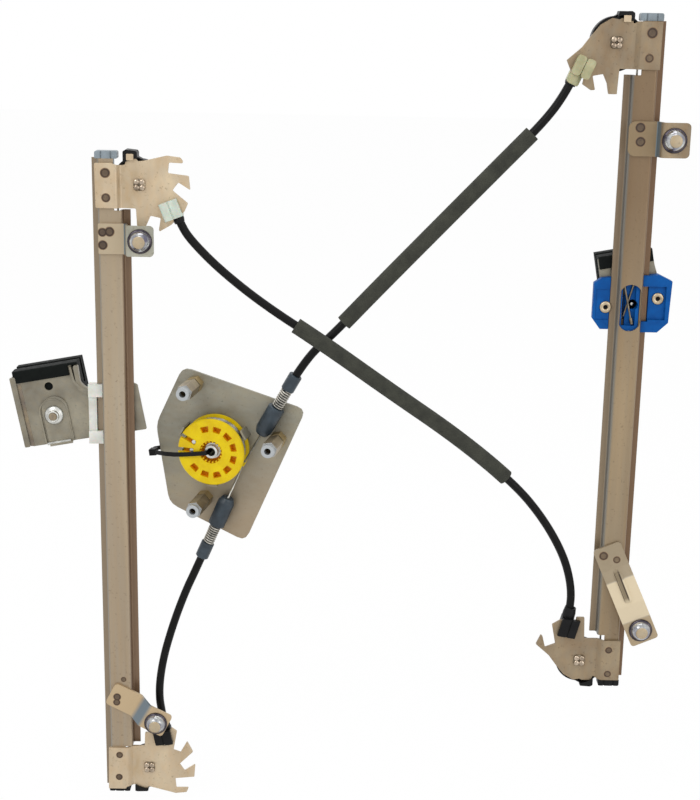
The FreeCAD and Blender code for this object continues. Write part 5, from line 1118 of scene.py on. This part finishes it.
old_end = Vector((-31.8, ROUTE_END_Y, 179.3))
new_end = Vector((-27.0, ROUTE_END_Y, 177.9))
more_lean = Matrix.Rotation(math.radians(-8.2), 4, "Y")
lean = Matrix.Translation(new_end) @ more_lean @ Matrix.Translation(-old_end)
FITTING_REACH = 30.0


def leaned(point):
    return lean @ point if (point - old_end).length < FITTING_REACH else point


for name, node in (
    ("left_upper_sheath_fitting", "left_upper_cable_fitting"), ("sheath_rings", "sheath_ferrules"),
):
    add_piece(name, recast(node, leaned), FIXED, node)


# Camera, floor and light

DOWN_TILT_DEGREES = 14.643
ROLL_DEGREES = -1.058
LENS_MM = 67.5
CAMERA_PLACE = (0.1016, -1.10866, 0.3280)


def camera_at_photo_angle():
    """Camera fitted to the photograph's rails, plate and vanishing point."""
    down_tilt = math.radians(DOWN_TILT_DEGREES)
    roll = math.radians(ROLL_DEGREES)
    forward = Vector((0.0, math.cos(down_tilt), -math.sin(down_tilt)))
    level_right = Vector((1.0, 0.0, 0.0))
    level_down = Vector((0.0, -math.sin(down_tilt), -math.cos(down_tilt)))
    right = level_right * math.cos(roll) + level_down * math.sin(roll)
    down = level_down * math.cos(roll) - level_right * math.sin(roll)
    lens = bpy.data.cameras.new("camera")
    lens.lens = LENS_MM
    lens.sensor_width = 36.0
    camera = bpy.data.objects.new("camera", lens)
    turn = Matrix((right, -down, -forward)).transposed().to_4x4()
    camera.matrix_world = Matrix.Translation(Vector(CAMERA_PLACE)) @ turn
    bpy.context.scene.collection.objects.link(camera)
    bpy.context.scene.camera = camera


WHITE = (1.0, 1.0, 1.0, 1.0)
WHITE_SHARE = 0.97


def pale_floor():
    """Pale floor that keeps the shadow and looks white where the camera sees it."""
    made = Finish("pale floor")
    tint = made.noise(6.0, 2.0)
    base = made.ramp(tint, (0.3, colour(250, 250, 250)), (0.7, colour(254, 254, 254)))
    made.feed(made.shader.inputs["Base Color"], base)
    made.feed(made.shader.inputs["Roughness"], 0.9)
    glow = made.node("ShaderNodeEmission", Color=WHITE, Strength=1.0)
    share = made.maths("MULTIPLY", made.seen(), WHITE_SHARE)
    made.mix_shaders(share, made.shader.outputs[0], glow.outputs[0], "Material Output")
    bpy.ops.mesh.primitive_plane_add(size=12.0, location=(0.1, 2.0, cad_low.z - 0.004))
    floor = bpy.context.object
    floor.name = "floor"
    floor.data.materials.append(made.material)


def soft_light():
    """White room, whiter where it is seen, and four wide lamps."""
    world = bpy.data.worlds.new("studio")
    bpy.context.scene.world = world
    world.use_nodes = True
    sky = Nodes(world.node_tree)
    room = sky.tree.nodes["Background"]
    sky.feed(room.inputs["Color"], WHITE)
    sky.feed(room.inputs["Strength"], 0.6)
    behind = sky.node("ShaderNodeBackground", Color=WHITE, Strength=1.0)
    sky.mix_shaders(sky.seen(), room.outputs[0], behind.outputs[0], "World Output")
    lamps = [
        ("key", (-0.9, -1.5, 1.6), 1.2, 16.0),
        ("fill", (1.5, -1.4, 0.5), 1.4, 8.0),
        ("top", (0.1, 0.4, 1.8), 1.2, 8.0),
        ("rim", (-1.2, 1.4, 0.9), 1.0, 4.0),
    ]
    middle = Vector((0.1, 0.0, 0.0))
    for name, place, size, power in lamps:
        lamp = bpy.data.lights.new(name, "AREA")
        lamp.size = size
        lamp.energy = power
        light = bpy.data.objects.new(name, lamp)
        light.location = place
        light.rotation_euler = (middle - Vector(place)).to_track_quat("-Z", "Y").to_euler()
        bpy.context.scene.collection.objects.link(light)


camera_at_photo_angle()
pale_floor()
soft_light()
bpy.context.scene.view_settings.view_transform = "Standard"
